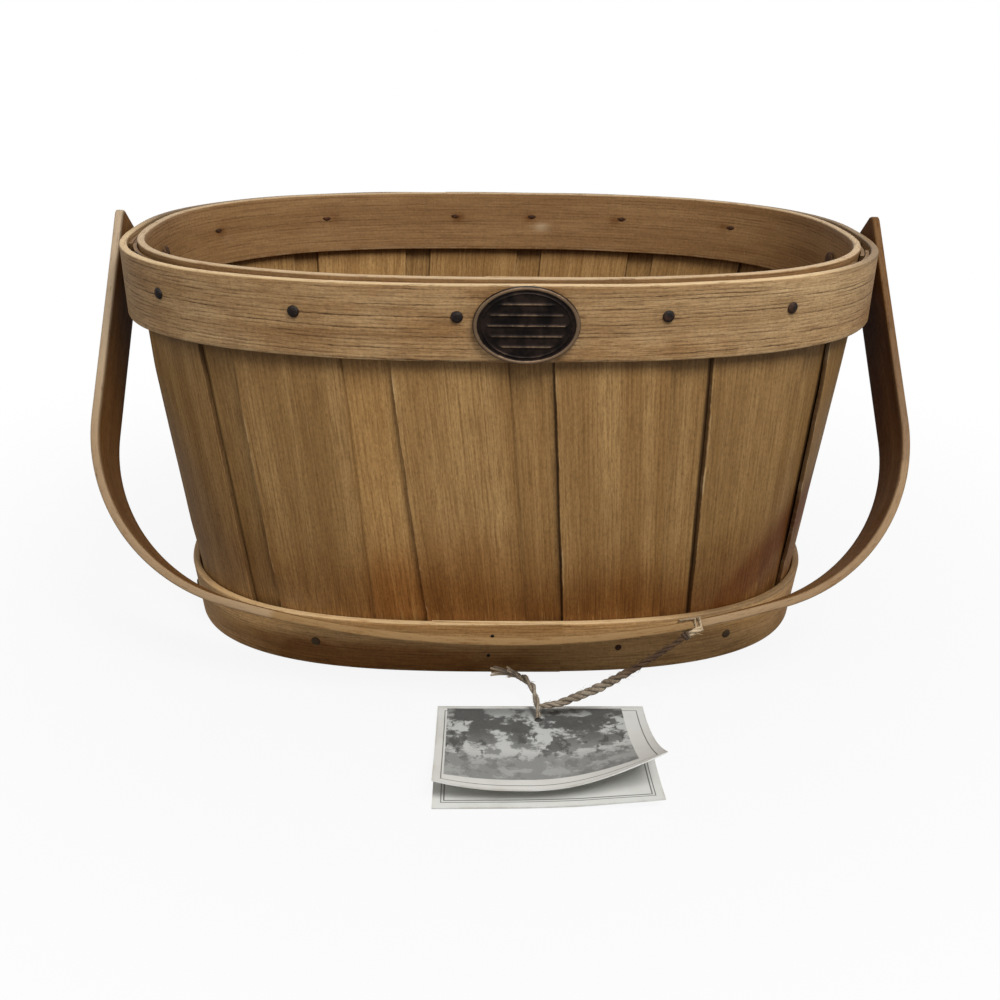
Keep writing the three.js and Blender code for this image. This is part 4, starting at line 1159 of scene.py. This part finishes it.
def make_tack_tree():
    """A shape set on every point, its axis along the point's out attribute, its long side level"""
    group, web, given = new_group(
        "tacks", "GeometryNodeTree",
        [("Points", "Geometry"), ("Shape", "Object"), ("Size", "Float"), ("Material", "Material")],
        [("Geometry", "Geometry")],
    )
    shape = web.get("GeometryNodeObjectInfo", {"Object": given["Shape"]}, output="Geometry")
    out = web.get("GeometryNodeInputNamedAttribute", {"Name": "out"}, data_type="FLOAT_VECTOR")
    turn = web.get("FunctionNodeAlignRotationToVector", {"Vector": out}, axis="Z")
    level = web.vector("CROSS_PRODUCT", (0.0, 0.0, 1.0), out)
    turn = web.get("FunctionNodeAlignRotationToVector", {"Rotation": turn, "Vector": level},
                   axis="X", pivot_axis="Z")
    heads = web.get("GeometryNodeInstanceOnPoints", {
        "Points": given["Points"], "Instance": shape, "Rotation": turn,
        "Scale": web.join(given["Size"], given["Size"], given["Size"]),
    })
    close_dressed(web, heads, given["Material"])
    return group


TACK_TREE = make_tack_tree()


def tack_row(name, shape, places, outwards, steel, size=1.0):
    """One piece of many tacks, each set on its place and turned outwards"""
    seedling = bpy.data.meshes.new(name + "_points")
    seedling.from_pydata([tuple(p) for p in places], [], [])
    set_attributes(seedling, {"out": np.array(outwards)})
    piece = grown(name, TACK_TREE, seedling, shape=shape, size=size, material=steel)
    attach(piece, "basket")
    return piece


def make_tacks():
    """Heads and clinched points of the rim's tacks, and the heads on the base hoop"""
    profile = [(r * TACK_HEAD_RADIUS, h * TACK_HEAD_HEIGHT) for r, h in TACK_PROFILE]
    head_mesh = make_mesh("tack_head_shape", *lathe(profile, TACK_SIDES, (0, 0, 0), (0, 0, 1)))
    head = add_piece("tack_head_shape", head_mesh)
    points, faces = lathe(CLINCH_PROFILE, CLINCH_SIDES, (0, 0, 0), (0, 0, 1))
    bent = [(x * (1.8 + 0.6 * drift(y * 900, z * 900, 1.3)),
             y * (0.7 + 0.3 * drift(x * 900, z * 900, 2.7)), z * 0.6) for x, y, z in points]
    clinch = add_piece("tack_clinch_shape", make_mesh("tack_clinch_shape", bent, faces))

    outside = [RIM_FACE.at(turn, RIM_TACK_Z) for turn in RIM_TACK_TURNS]
    inward = [inward_at(RIM_FACE, turn, RIM_TACK_Z) for turn in RIM_TACK_TURNS]
    backs = [INNER_BACK.at(turn, RIM_TACK_Z) for turn in RIM_TACK_TURNS]
    inside = [p + n * ((b - p) @ n) for p, n, b in zip(outside, inward, backs)]
    heads = tack_row("rim_tack_heads", head, [p - n * TACK_LIFT for p, n in zip(outside, inward)],
                     [-n for n in inward], TACK_STEEL)
    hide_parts(*[f"rim_tack_{i + 1:02d}" for i in range(len(RIM_TACK_TURNS))])
    tack_row("rim_tack_clinches", clinch, inside, inward, RUSTY_STEEL, RIM_CLINCH_SIZE)
    seats = [BASE_FACE.at(turn, BASE_TACK_Z) for turn in BASE_TACK_TURNS]
    outwards = [-inward_at(BASE_FACE, turn, BASE_TACK_Z) for turn in BASE_TACK_TURNS]
    sunk = BASE_TACK_TURNS.index(SUNK_TACK_TURN)
    tack_row("base_tack_sunk", head, [seats.pop(sunk)], [outwards.pop(sunk)], RUSTY_STEEL,
             SUNK_TACK_SIZE)
    tack_row("base_tack_heads", head, seats, outwards, DULL_STEEL, BASE_TACK_SIZE)
    tack_row("base_lap_nails", head, [BASE_FACE.at(*nail) for nail in LAP_NAILS],
             [-inward_at(BASE_FACE, *nail) for nail in LAP_NAILS], TACK_STEEL, LAP_NAIL_SIZE)
    bpy.data.objects.remove(head)
    bpy.data.objects.remove(clinch)


def make_pivots():
    """The rivets that the handle turns on, and the wooden spacers between it and the rim"""
    outside = RIM_LENGTH / 2 + 3 * CLEARANCE + SPACER_THICKNESS + HANDLE_THICKNESS
    inside = INNER_BACK.at(0.25, PIVOT_Z - RIVET_BURR_DIAMETER / 2)[0] - CLEARANCE
    shank, head, burr = RIVET_DIAMETER / 2, RIVET_HEAD_DIAMETER / 2, RIVET_BURR_DIAMETER / 2
    tall = RIVET_HEAD_HEIGHT
    burr_at = tall + outside - inside
    profile = [(RIVET_TIP_RADIUS, 0.0), *((r * head, h * tall) for r, h in RIVET_DOME),
               (shank, tall), (shank, burr_at), (burr, burr_at),
               (burr, burr_at + 0.4 * RIVET_BURR_HEIGHT),
               (0.82 * burr, burr_at + RIVET_BURR_HEIGHT),
               (RIVET_TIP_RADIUS, burr_at + 0.85 * RIVET_BURR_HEIGHT)]
    bore = shank + CLEARANCE
    ring = SPACER_DIAMETER / 2
    low, high = SPACER_SOFTNESS, SPACER_THICKNESS - SPACER_SOFTNESS
    spacer = [(bore, 0.0), (ring - SPACER_SOFTNESS, 0.0), (ring, low), (ring, high),
              (ring - SPACER_SOFTNESS, SPACER_THICKNESS), (bore, SPACER_THICKNESS)]
    last = (len(spacer) - 1) * PIVOT_SIDES
    bore_wall = [(last + k, last + (k + 1) % PIVOT_SIDES, (k + 1) % PIVOT_SIDES, k)
                 for k in range(PIVOT_SIDES)]
    for side, sign in (("left", -1), ("right", 1)):
        tip = (sign * (outside + tall), 0, PIVOT_Z)
        points, faces = lathe(profile, PIVOT_SIDES, tip, (-sign, 0, 0))
        mesh = make_mesh(side + "_rivet", points, faces, sharp=50)
        rivet = add_piece(side + "_rivet", mesh, RIVET_STEEL)
        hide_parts(side + "_pivot_rivet")
        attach(rivet, "basket")

        seat = (sign * (RIM_LENGTH / 2 + CLEARANCE + SPACER_THICKNESS), 0, PIVOT_Z)
        points, _ = lathe(spacer, PIVOT_SIDES, seat, (-sign, 0, 0))
        faces = loft_faces(len(spacer), PIVOT_SIDES) + bore_wall
        places = np.array(points)
        grain = np.stack([places[:, 1] + 0.2, places[:, 0], places[:, 2] + sign], 1)
        rim = np.tile((0.01, 0.01, 0.85), (len(places), 1))
        mesh = make_mesh(side + "_spacer", points, faces, {"grain": grain, "rim": rim})
        washer = add_piece(side + "_spacer", mesh, HOOP_WOOD)
        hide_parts(side + "_pivot_spacer")
        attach(washer, "basket")


# Plate

def make_plate():
    """An oval plate with a rounded raised edge, a thin inner ring and raised ribs across its
    field"""
    half = PLATE_LENGTH / 2
    squash = PLATE_HEIGHT / PLATE_LENGTH
    field = PLATE_THICKNESS - PLATE_EDGE_RISE

    def height(radius, up):
        share = radius / half
        if share > 0.999:
            return field - PLATE_ARRIS
        if share > 0.9:
            rounded = max(0.0, 1 - ((share - 0.955) / 0.048) ** 2)
            return field + PLATE_EDGE_RISE * rounded ** 0.5
        ring = math.exp(-(((share - 0.83) / 0.014) ** 2))
        ribs = max(math.exp(-(((up - place) / PLATE_RIB_WIDTH) ** 2)) for place in PLATE_RIBS)
        ribs *= max(0.0, min(1.0, (0.76 - share) / 0.05))
        return field + max(PLATE_RING_RISE * ring, PLATE_RIB_RISE * ribs) - 0.00005 * share

    points, relief = [], []
    for radius in [half * share for share in PLATE_SHARES]:
        for angle in round_angles(PLATE_SIDES):
            x, up = radius * math.cos(angle), radius * math.sin(angle) * squash
            tall = height(radius, up)
            points.append((x, -tall, up))
            relief.append(((tall - field) / PLATE_EDGE_RISE, x, up))
    for radius, tall in ((half, PLATE_ARRIS), (half - PLATE_BACK_INSET, 0.0)):
        for angle in round_angles(PLATE_SIDES):
            x, up = radius * math.cos(angle), radius * math.sin(angle) * squash
            points.append((x, -tall, up))
            relief.append((0.3, x, up))
    seat = Matrix.Translation(PLATE_SEAT) @ Matrix.Rotation(PLATE_LEAN, 4, "X")
    placed = [tuple(seat @ Vector(p)) for p in points]
    faces = turned_faces(len(PLATE_SHARES) + 2, PLATE_SIDES)
    mesh = make_mesh("oval_plate", placed, faces, {"relief": relief})
    plate = add_piece("oval_plate", mesh, PLATE_BRASS)
    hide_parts("rim_plate")
    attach(plate, "basket")


# Handle

def handle_line():
    """Stations of the handle's centre line in its own plane, from the right tip to the left one:
    place, heading, way from the nearer tip (1 past the arms) and way along the strip"""
    half_span = RIM_LENGTH / 2 + 2 * CLEARANCE + SPACER_THICKNESS + HANDLE_THICKNESS / 2
    arm = np.array([math.sin(HANDLE_SPLAY), -math.cos(HANDLE_SPLAY)])
    pivot = np.array([half_span, 0.0])
    right = []
    arm_length = PIVOT_Z - HANDLE_BEND_HEIGHT
    for from_tip in [*np.linspace(0, 1, 7) ** 2 * HANDLE_TIP_RADIUS,
                     *np.linspace(HANDLE_TIP_RADIUS, HANDLE_TIP + arm_length, 30)[1:]]:
        right.append((pivot + arm * (from_tip - HANDLE_TIP), HANDLE_SPLAY, from_tip))
    bend = math.pi / 2 + HANDLE_SPLAY - HANDLE_BOW_ANGLE
    radial = lambda heading: np.array([math.cos(heading), math.sin(heading)])
    centre = pivot + arm * arm_length - HANDLE_BEND_RADIUS * radial(HANDLE_SPLAY)
    for share in np.linspace(0, 1, 41)[1:]:
        heading = HANDLE_SPLAY - bend * share
        right.append((centre + HANDLE_BEND_RADIUS * radial(heading), heading, 1.0))
    start = HANDLE_SPLAY - bend
    end = right[-1][0]
    bow_radius = end[0] / math.cos(start)
    bow_centre = np.array([0.0, end[1] - bow_radius * math.sin(start)])
    for share in np.linspace(0, 1, 41)[1:]:
        heading = start + (-math.pi / 2 - start) * share
        right.append((bow_centre + bow_radius * radial(heading), heading, 1.0))
    left = [(np.array([-p[0], p[1]]), -math.pi - heading, from_tip)
            for p, heading, from_tip in right[-2::-1]]
    lowest = right[-1][0][1]
    line = [(p + np.array([HANDLE_SWAY * p[1] / lowest, 0.0]), heading, from_tip)
            for p, heading, from_tip in right + left]
    ways = ways_along(np.array([station[0] for station in line]))
    return [(*station, way) for station, way in zip(line, ways)]


HANDLE_SEAT = Matrix.Translation((0, 0, PIVOT_Z)) @ Matrix.Rotation(-HANDLE_REST_LEAN, 4, "X")


def strip_axes(heading):
    """The ways out of the bow and across the strip, twisted at the grip"""
    twist = HANDLE_GRIP_TWIST * max(0.0, -math.sin(heading)) ** 2
    away = np.array([math.cos(heading), 0.0, math.sin(heading)])
    flat = np.array([0.0, 1.0, 0.0])
    out = away * math.cos(twist) + flat * math.sin(twist)
    return out, flat * math.cos(twist) - away * math.sin(twist)


def handle_wear(place, on_edge):
    """How strongly the pale edge shows, how far the strip is darkened and how greyed its edge is,
    at a
    place on the centre line: painted shade darkens the right arm and its pale edge, the left arm is
    greyed, and the pale edge is fainter at the bends"""
    x, height = place
    arm = max(0.0, min(1.0, (height + 0.11) / 0.08))
    bend = max(0.0, 1.0 - abs(abs(x) - 0.15) / 0.05)
    # Painted shade over the right arm and the top of its bend
    grime_and_shade = 0.9 * max(0.0, min(1.0, (height + 0.13) / 0.06)) if x > 0 else 0.1
    greyed = 0.28 + 0.42 * arm if x < -0.1 else 0.2 * (1 - arm) * (x > TWINE_X)
    # Painted shade tones down the right arm's pale edge; the pale edge is also fainter at the bends
    edge_paleness = 0.35 if x > 0 and arm > 0 else 1.0 - 0.45 * bend
    return (edge_paleness, grime_and_shade, greyed) if on_edge else (edge_paleness * 0.6 * (1 - arm), grime_and_shade, 0.0)


def make_handle():
    line = handle_line()
    half = HANDLE_WIDTH / 2
    points, grain, rim, wear = [], [], [], []
    outline = rounded_strip(HANDLE_WIDTH, HANDLE_THICKNESS, HANDLE_CORNER, HANDLE_FACE_STEPS)
    for place, heading, from_tip, way in line:
        narrow = 1.0
        if from_tip < HANDLE_TIP_RADIUS:
            rounded = math.sqrt(HANDLE_TIP_RADIUS ** 2 - (HANDLE_TIP_RADIUS - from_tip) ** 2)
            narrow += (rounded - HANDLE_TIP_RADIUS) / half
        out, over = strip_axes(heading)
        centre = np.array([place[0], 0.0, place[1]])
        for across, depth in outline:
            ripple = HANDLE_RIPPLE * drift(way * 17, across * 40, 2.1)
            points.append(centre + out * (ripple - depth) + over * across * narrow)
            grain.append((across + 3.1, depth, way + 0.4))
            rim.append((across + half, half - across, 1.0))
            wear.append(handle_wear(place, across < 0.0009 - half))
    bar = make_mesh("bent_handle", points, strip_faces(len(line), len(outline)),
                    {"grain": grain, "rim": rim, "wear": wear})
    bar.transform(HANDLE_SEAT)
    handle = add_piece("bent_handle", bar, HANDLE_WOOD)
    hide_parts("handle")
    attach(handle, "handle")


# Twine

def smooth_route(route, step=0.0006):
    """A route's points on one smooth curve, evenly spaced"""
    route = np.asarray(route)
    padded = np.concatenate([[2 * route[0] - route[1]], route, [2 * route[-1] - route[-2]]])
    fine = []
    for i in range(len(route) - 1):
        a, b, c, d = padded[i:i + 4]
        for t in np.linspace(0, 1, 24, endpoint=False):
            fine.append(0.5 * (2 * b + (c - a) * t + (2 * a - 5 * b + 4 * c - d) * t ** 2
                               + (3 * b - a - 3 * c + d) * t ** 3))
    fine.append(route[-1])
    fine = np.array(fine)
    ways = ways_along(fine)
    even = np.linspace(0, ways[-1], max(8, int(ways[-1] / step)))
    return np.stack([np.interp(even, ways, fine[:, i]) for i in range(3)], 1)


def frames_along(path):
    """Two directions across a path at each point, carried along it without twist"""
    tangents = np.gradient(path, axis=0)
    tangents /= np.linalg.norm(tangents, axis=1)[:, None]
    start = np.cross(tangents[0], (0.0, 0.0, 1.0))
    across = [start / np.linalg.norm(start)]
    for tangent in tangents[1:]:
        carried = across[-1] - tangent * (across[-1] @ tangent)
        across.append(carried / np.linalg.norm(carried))
    across = np.array(across)
    return tangents, across, np.cross(tangents, across)


class Fibres:
    """Collects tubes that make up one piece of twine"""

    def __init__(self):
        self.points, self.faces, self.lay = [], [], []

    def tube(self, path, radii, sides, axis_path=None, reach=1.0, nearness=(1.0, 1.0)):
        """A tube along a path, with its nearness to the twine's outside from end to end, or from
        an axis that lies a reach within"""
        path = np.asarray(path)
        _, across, over = frames_along(path)
        base = len(self.points)
        ways = ways_along(path)
        for i, centre in enumerate(path):
            for angle in round_angles(sides):
                away = math.cos(angle) * across[i] + math.sin(angle) * over[i]
                point = centre + radii[i] * away
                outside = nearness[0] + (nearness[1] - nearness[0]) * i / len(path)
                if axis_path is not None:
                    outside = min(1.0, np.linalg.norm(point - axis_path[i]) / reach)
                self.points.append(point)
                self.lay.append((math.sin(angle), ways[i], outside))
        self.faces += [tuple(base + corner for corner in face)
                       for face in strip_faces(len(path), sides)]

    def twist(self, path, diameter, plies, pitch, girth=lambda share: 1.0):
        """Plies wound round a path, loosely where the girth swells"""
        _, across, over = frames_along(path)
        ways = ways_along(path)
        ply = diameter / 2 * (0.5 if plies == 2 else 0.46)
        swells = np.array([girth(way / ways[-1]) for way in ways])
        offset = (diameter / 2 - ply) * swells
        for k in range(plies):
            uneven = np.array([drift(way * 90, k * 2.3, 1.9) for way in ways])
            angle = 2 * np.pi * (ways / pitch + k / plies) + 0.9 * uneven
            away = np.cos(angle)[:, None] * across + np.sin(angle)[:, None] * over
            centre = path + offset[:, None] * away
            lumps = np.array([1 + 0.24 * drift(way * 330, k * 3.1, 0.4) for way in ways])
            self.tube(centre, ply * swells * lumps * 1.04, 10, axis_path=path, reach=diameter / 2)

    def fuzz(self, path, radius, count, length, rng):
        """Loose hairs that stand off the twine"""
        tangents, across, over = frames_along(path)
        for _ in range(count):
            i = rng.integers(2, len(path) - 2)
            angle = rng.uniform(0, 2 * np.pi)
            out = math.cos(angle) * across[i] + math.sin(angle) * over[i]
            along = tangents[i] * rng.choice([-1, 1])
            curl = np.cross(out, along) * rng.uniform(-0.5, 0.5)
            reach = length * rng.uniform(0.4, 1.0)
            root = path[i] + out * radius * 0.85
            hair = [root + reach * (s * along * 0.75 + s ** 1.6 * (out * 0.45 + curl))
                    for s in np.linspace(0, 1, 6)]
            self.tube(hair, np.linspace(0.00009, 0.00003, 6), 3)

    def piece(self, name):
        mesh = make_mesh(name, np.array(self.points), self.faces, {"lay": self.lay}, sharp=70)
        piece = add_piece(name, mesh, TWINE)
        return piece


def make_loop():
    """Three thin turns of twine round the handle's strip"""
    station = min(handle_line(), key=lambda s: abs(s[0][0] - TWINE_X))
    heading = station[1]
    along = np.array([-math.sin(heading), 0, math.cos(heading)])
    out, across = strip_axes(heading)
    centre = np.array([station[0][0], 0, station[0][1]])
    centre = centre + along * (TWINE_X - centre[0]) / along[0]
    yarn = 0.65 * TWINE_DIAMETER
    half_out, half_across = HANDLE_THICKNESS / 2, HANDLE_WIDTH / 2
    fibres = Fibres()
    rng = np.random.default_rng(11)
    ring = []
    for corner, (side_out, side_across) in enumerate(((1, 1), (-1, 1), (-1, -1), (1, -1))):
        for share in np.linspace(0, 1, 5):
            angle = math.pi / 4 + (corner + share - 0.5) * math.pi / 2
            ray = out * math.cos(angle) + across * math.sin(angle)
            ring.append((side_out * half_out, side_across * half_across, ray))
    for shift, lean, lift in LOOP_TURNS:
        turn = [centre + out * o + across * a + ray * (yarn / 2 + 0.0002 + lift)
                + along * (shift + lean * a / half_across) for o, a, ray in ring]
        turn = smooth_route(np.array([*turn, turn[0]]), 0.0004)
        fibres.twist(turn, yarn, plies=2, pitch=LOOP_PITCH)
        fibres.fuzz(turn, yarn / 2, count=16, length=0.0022, rng=rng)
    loop = fibres.piece("twine_turns")
    loop.data.transform(HANDLE_SEAT)
    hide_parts("twine_loop")
    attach(loop, "handle")


def make_strand():
    """The doubled strand from the loop to the tag, full in its middle, with a knot near the loop"""
    path = smooth_route(STRAND_ROUTE)
    fibres = Fibres()
    middle = lambda share: min(1.0, max(0.0, (share - 0.36) / 0.62))
    swell = lambda share: 0.74 + 0.48 * math.sin(math.pi * middle(share)) ** 0.9
    fibres.twist(path, STRAND_DIAMETER, plies=3, pitch=STRAND_PITCH, girth=swell)
    at = int(len(path) * 0.095)
    _, across, over = frames_along(path)
    knot = []
    for turn in np.linspace(0, 4 * np.pi, 33):
        away = math.cos(turn) * across[at] + math.sin(turn) * over[at]
        onward = (path[at + 3] - path[at]) * (turn / np.pi - 2) * 0.35
        knot.append(path[at] + KNOT_RADIUS * away + onward)
    fibres.tube(knot, np.full(len(knot), KNOT_GIRTH), 8, nearness=(0.0, 0.0))
    fibres.fuzz(path, STRAND_DIAMETER / 2, count=150, length=0.004,
                rng=np.random.default_rng(5))
    strand = fibres.piece("twine_lead")
    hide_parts("twine_strand")
    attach(strand, "tag")


def make_tail():
    """The tail from the tag's hole: twisted at first, then frayed into tufts"""
    path = smooth_route(TAIL_ROUTE)
    fibres = Fibres()
    rng = np.random.default_rng(8)
    bound = path[:int(len(path) * 0.7)]
    fibres.twist(bound, TAIL_DIAMETER, plies=2, pitch=TAIL_PITCH,
                 girth=lambda share: 1.15 + 0.8 * share)
    fibres.fuzz(bound, TAIL_DIAMETER / 2, count=80, length=0.0035, rng=rng)
    _, across, over = frames_along(path)
    start = len(bound) - 4
    left = len(path) - start
    up = np.array([0.0, 0.0, 1.0])
    for ends_at, side in TUFTS:
        tip = up * side * (0.0025 if ends_at < 1 else 0.0018)
        for k in range(TUFT_YARNS):
            thick = k < TUFT_THICK_YARNS
            angle = rng.uniform(0, 2 * np.pi)
            out = math.cos(angle) * across[start] + math.sin(angle) * over[start]
            reach = 1.0 if thick and ends_at == 1 else rng.uniform(0.82, 1.0)
            way = np.linspace(0, ends_at * left * reach - 1, 9).astype(int)
            lane = out * 0.0005 + up * side * 0.0004
            spread = tip + out * 0.0004
            yarn = [path[start + i] + lane + spread * (i / (ends_at * left)) ** 2.2 for i in way]
            girths = np.linspace(*((0.00056, 0.00042) if thick else (0.00016, 0.00008)), 9)
            fibres.tube(yarn, girths, 6 if thick else 4, nearness=(0.7, 2.1))
    tail = fibres.piece("twine_tail_end")
    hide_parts("twine_tail")
    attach(tail, "tag")


# Tag

def make_tag():
    """One card folded in two: the lower leaf lies on the floor, the upper one curls up towards its
    corners"""
    half = TAG_THICKNESS / 2
    floor = CLEARANCE + half
    lower = np.linspace(1, 0.0, 18)
    upper = np.linspace(0.0, 1, 24)[1:]
    fold = np.linspace(-math.pi / 2, math.pi / 2, 9)[1:]
    points, card = [], []
    for u in np.linspace(0, 1, TAG_COLUMNS + 1):
        x = TAG_X + (u - 0.5) * TAG_WIDTH
        curl = 0.006 + 0.004 * max(0.0, (0.35 - u) / 0.35) ** 2
        curl += 0.016 * max(0.0, (u - 0.4) / 0.6) ** 2
        sag = 0.0012 * drift(u * 2.3, 0.2, 0.7)
        # The card's middle from the lower leaf's free end to the upper one's: place, height and
        # way from the fold
        middle = []
        for share in lower:
            wave = 0.0004 * max(0.0, drift(u * 3.1, share * 2.2, 5.0)) * share
            wave += 0.0045 * (u * share) ** 3
            y = TAG_FOLD_Y - share * (TAG_LENGTH - TAG_FOLD_RADIUS) - TAG_FOLD_RADIUS
            middle.append((y, floor + wave, share * TAG_LENGTH))
        for angle in fold:
            middle.append((TAG_FOLD_Y + TAG_FOLD_RADIUS * (math.cos(angle) - 1),
                           floor + TAG_FOLD_RADIUS * (1 + math.sin(angle)), 0.0))
        for share in upper:
            y = TAG_FOLD_Y - TAG_FOLD_RADIUS - share * (TAG_LENGTH - 0.0022 - curl * 0.12)
            rise = (curl + sag) * share ** 1.8
            middle.append((y, floor + 2 * TAG_FOLD_RADIUS + rise, share * TAG_LENGTH))
        middle = np.array(middle)
        run = np.gradient(middle[:, :2], axis=0)
        run /= np.linalg.norm(run, axis=1)[:, None]
        # Off the fold's outside: below the lower leaf and above the upper one
        outside = np.stack([run[:, 1], -run[:, 0]], 1) * half
        turned_up = np.arange(len(middle)) >= len(lower)
        outer = zip(middle[:, :2] + outside, middle[:, 2], 1.0 * turned_up)
        inner = zip(middle[:, :2] - outside, middle[:, 2], 0.5 * ~turned_up)
        for (y, z), down, prints in [*outer, *[*inner][::-1]]:
            points.append((x, y, z))
            card.append((u * TAG_WIDTH, down, prints))
    faces = strip_faces(TAG_COLUMNS + 1, len(points) // (TAG_COLUMNS + 1))
    mesh = make_mesh("folded_tag", points, faces, {"card": card}, sharp=60)
    tag = add_piece("folded_tag", mesh, TAG_CARD)
    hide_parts("hang_tag")
    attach(tag, "tag")


# Studio

def close_mixed(web, share, first, second, output):
    """End a tree in a mix of two shaders"""
    mixed = web.node("ShaderNodeMixShader", {"Fac": share})
    web.tree.links.new(first.outputs[0], mixed.inputs[1])
    web.tree.links.new(second.outputs[0], mixed.inputs[2])
    surface = web.node(output)
    web.tree.links.new(mixed.outputs[0], surface.inputs["Surface"])


def make_floor():
    """A pale floor that the camera sees as white, with the object's shadow round it"""
    material, web = new_material("floor")
    away = web.vector("LENGTH", web.vector("MULTIPLY", web.place(), (1.0, 1.0, 0.0)))
    seen = web.get("ShaderNodeLightPath", output="Is Camera Ray")
    share = seen * (0.9 + web.step(away, 0.1, 0.5) * 0.1)
    grey = web.node("ShaderNodeBsdfDiffuse", {"Color": FLOOR_GREY})
    white = web.node("ShaderNodeEmission", {"Color": WHITE, "Strength": 1.0})
    close_mixed(web, share, grey, white, "ShaderNodeOutputMaterial")
    half = FLOOR_HALF
    corners = [(-half, -half, 0), (half, -half, 0), (half, half, 0), (-half, half, 0)]
    mesh = bpy.data.meshes.new("floor")
    mesh.from_pydata(corners, [], [(0, 1, 2, 3)])
    floor = add_piece("floor", mesh, material)


def make_world():
    """Soft light all round, which the camera and shiny surfaces see as white"""
    world = bpy.data.worlds.new("studio")
    world.use_nodes = True
    world.node_tree.nodes.clear()
    web = Web(world.node_tree)
    camera, glossy, through = (web.get("ShaderNodeLightPath", output=f"Is {ray} Ray")
                               for ray in ("Camera", "Glossy", "Transmission"))
    seen = web.math("MAXIMUM", camera, web.math("MAXIMUM", glossy, through))
    soft = web.node("ShaderNodeBackground", {"Color": WHITE, "Strength": WORLD_STRENGTH})
    white = web.node("ShaderNodeBackground", {"Color": WHITE, "Strength": 1.0})
    close_mixed(web, seen, soft, white, "ShaderNodeOutputWorld")
    bpy.context.scene.world = world


def add_lamp(name, place, size, power):
    lamp = bpy.data.lights.new(name, "AREA")
    lamp.size = size
    lamp.energy = power
    shown = bpy.data.objects.new(name, lamp)
    shown.location = place
    view = Vector(LAMP_AIM) - Vector(place)
    shown.rotation_euler = view.to_track_quat("-Z", "Y").to_euler()
    bpy.context.scene.collection.objects.link(shown)


def make_camera():
    camera = bpy.data.cameras.new("camera")
    camera.lens = CAMERA_LENS
    camera.sensor_width = 36.0
    camera.clip_start, camera.clip_end = 0.01, 50
    shown = bpy.data.objects.new("camera", camera)
    turn = CAMERA_VIEW.to_track_quat("-Z", "Y").to_matrix().to_4x4()
    roll = Matrix.Rotation(CAMERA_ROLL, 4, "Z")
    shown.matrix_world = Matrix.Translation(CAMERA_PLACE) @ turn @ roll
    bpy.context.scene.collection.objects.link(shown)
    bpy.context.scene.camera = shown


bpy.context.scene.view_settings.view_transform = "Standard"
make_camera()
make_floor()
make_world()
add_lamp("key_lamp", KEY_PLACE, KEY_SIZE, KEY_POWER)
add_lamp("fill_lamp", FILL_PLACE, FILL_SIZE, FILL_POWER)

make_strand()
make_tail()
make_loop()
make_staves()
make_hoops()
make_board()
make_tacks()
make_pivots()
make_plate()
make_handle()
make_tag()
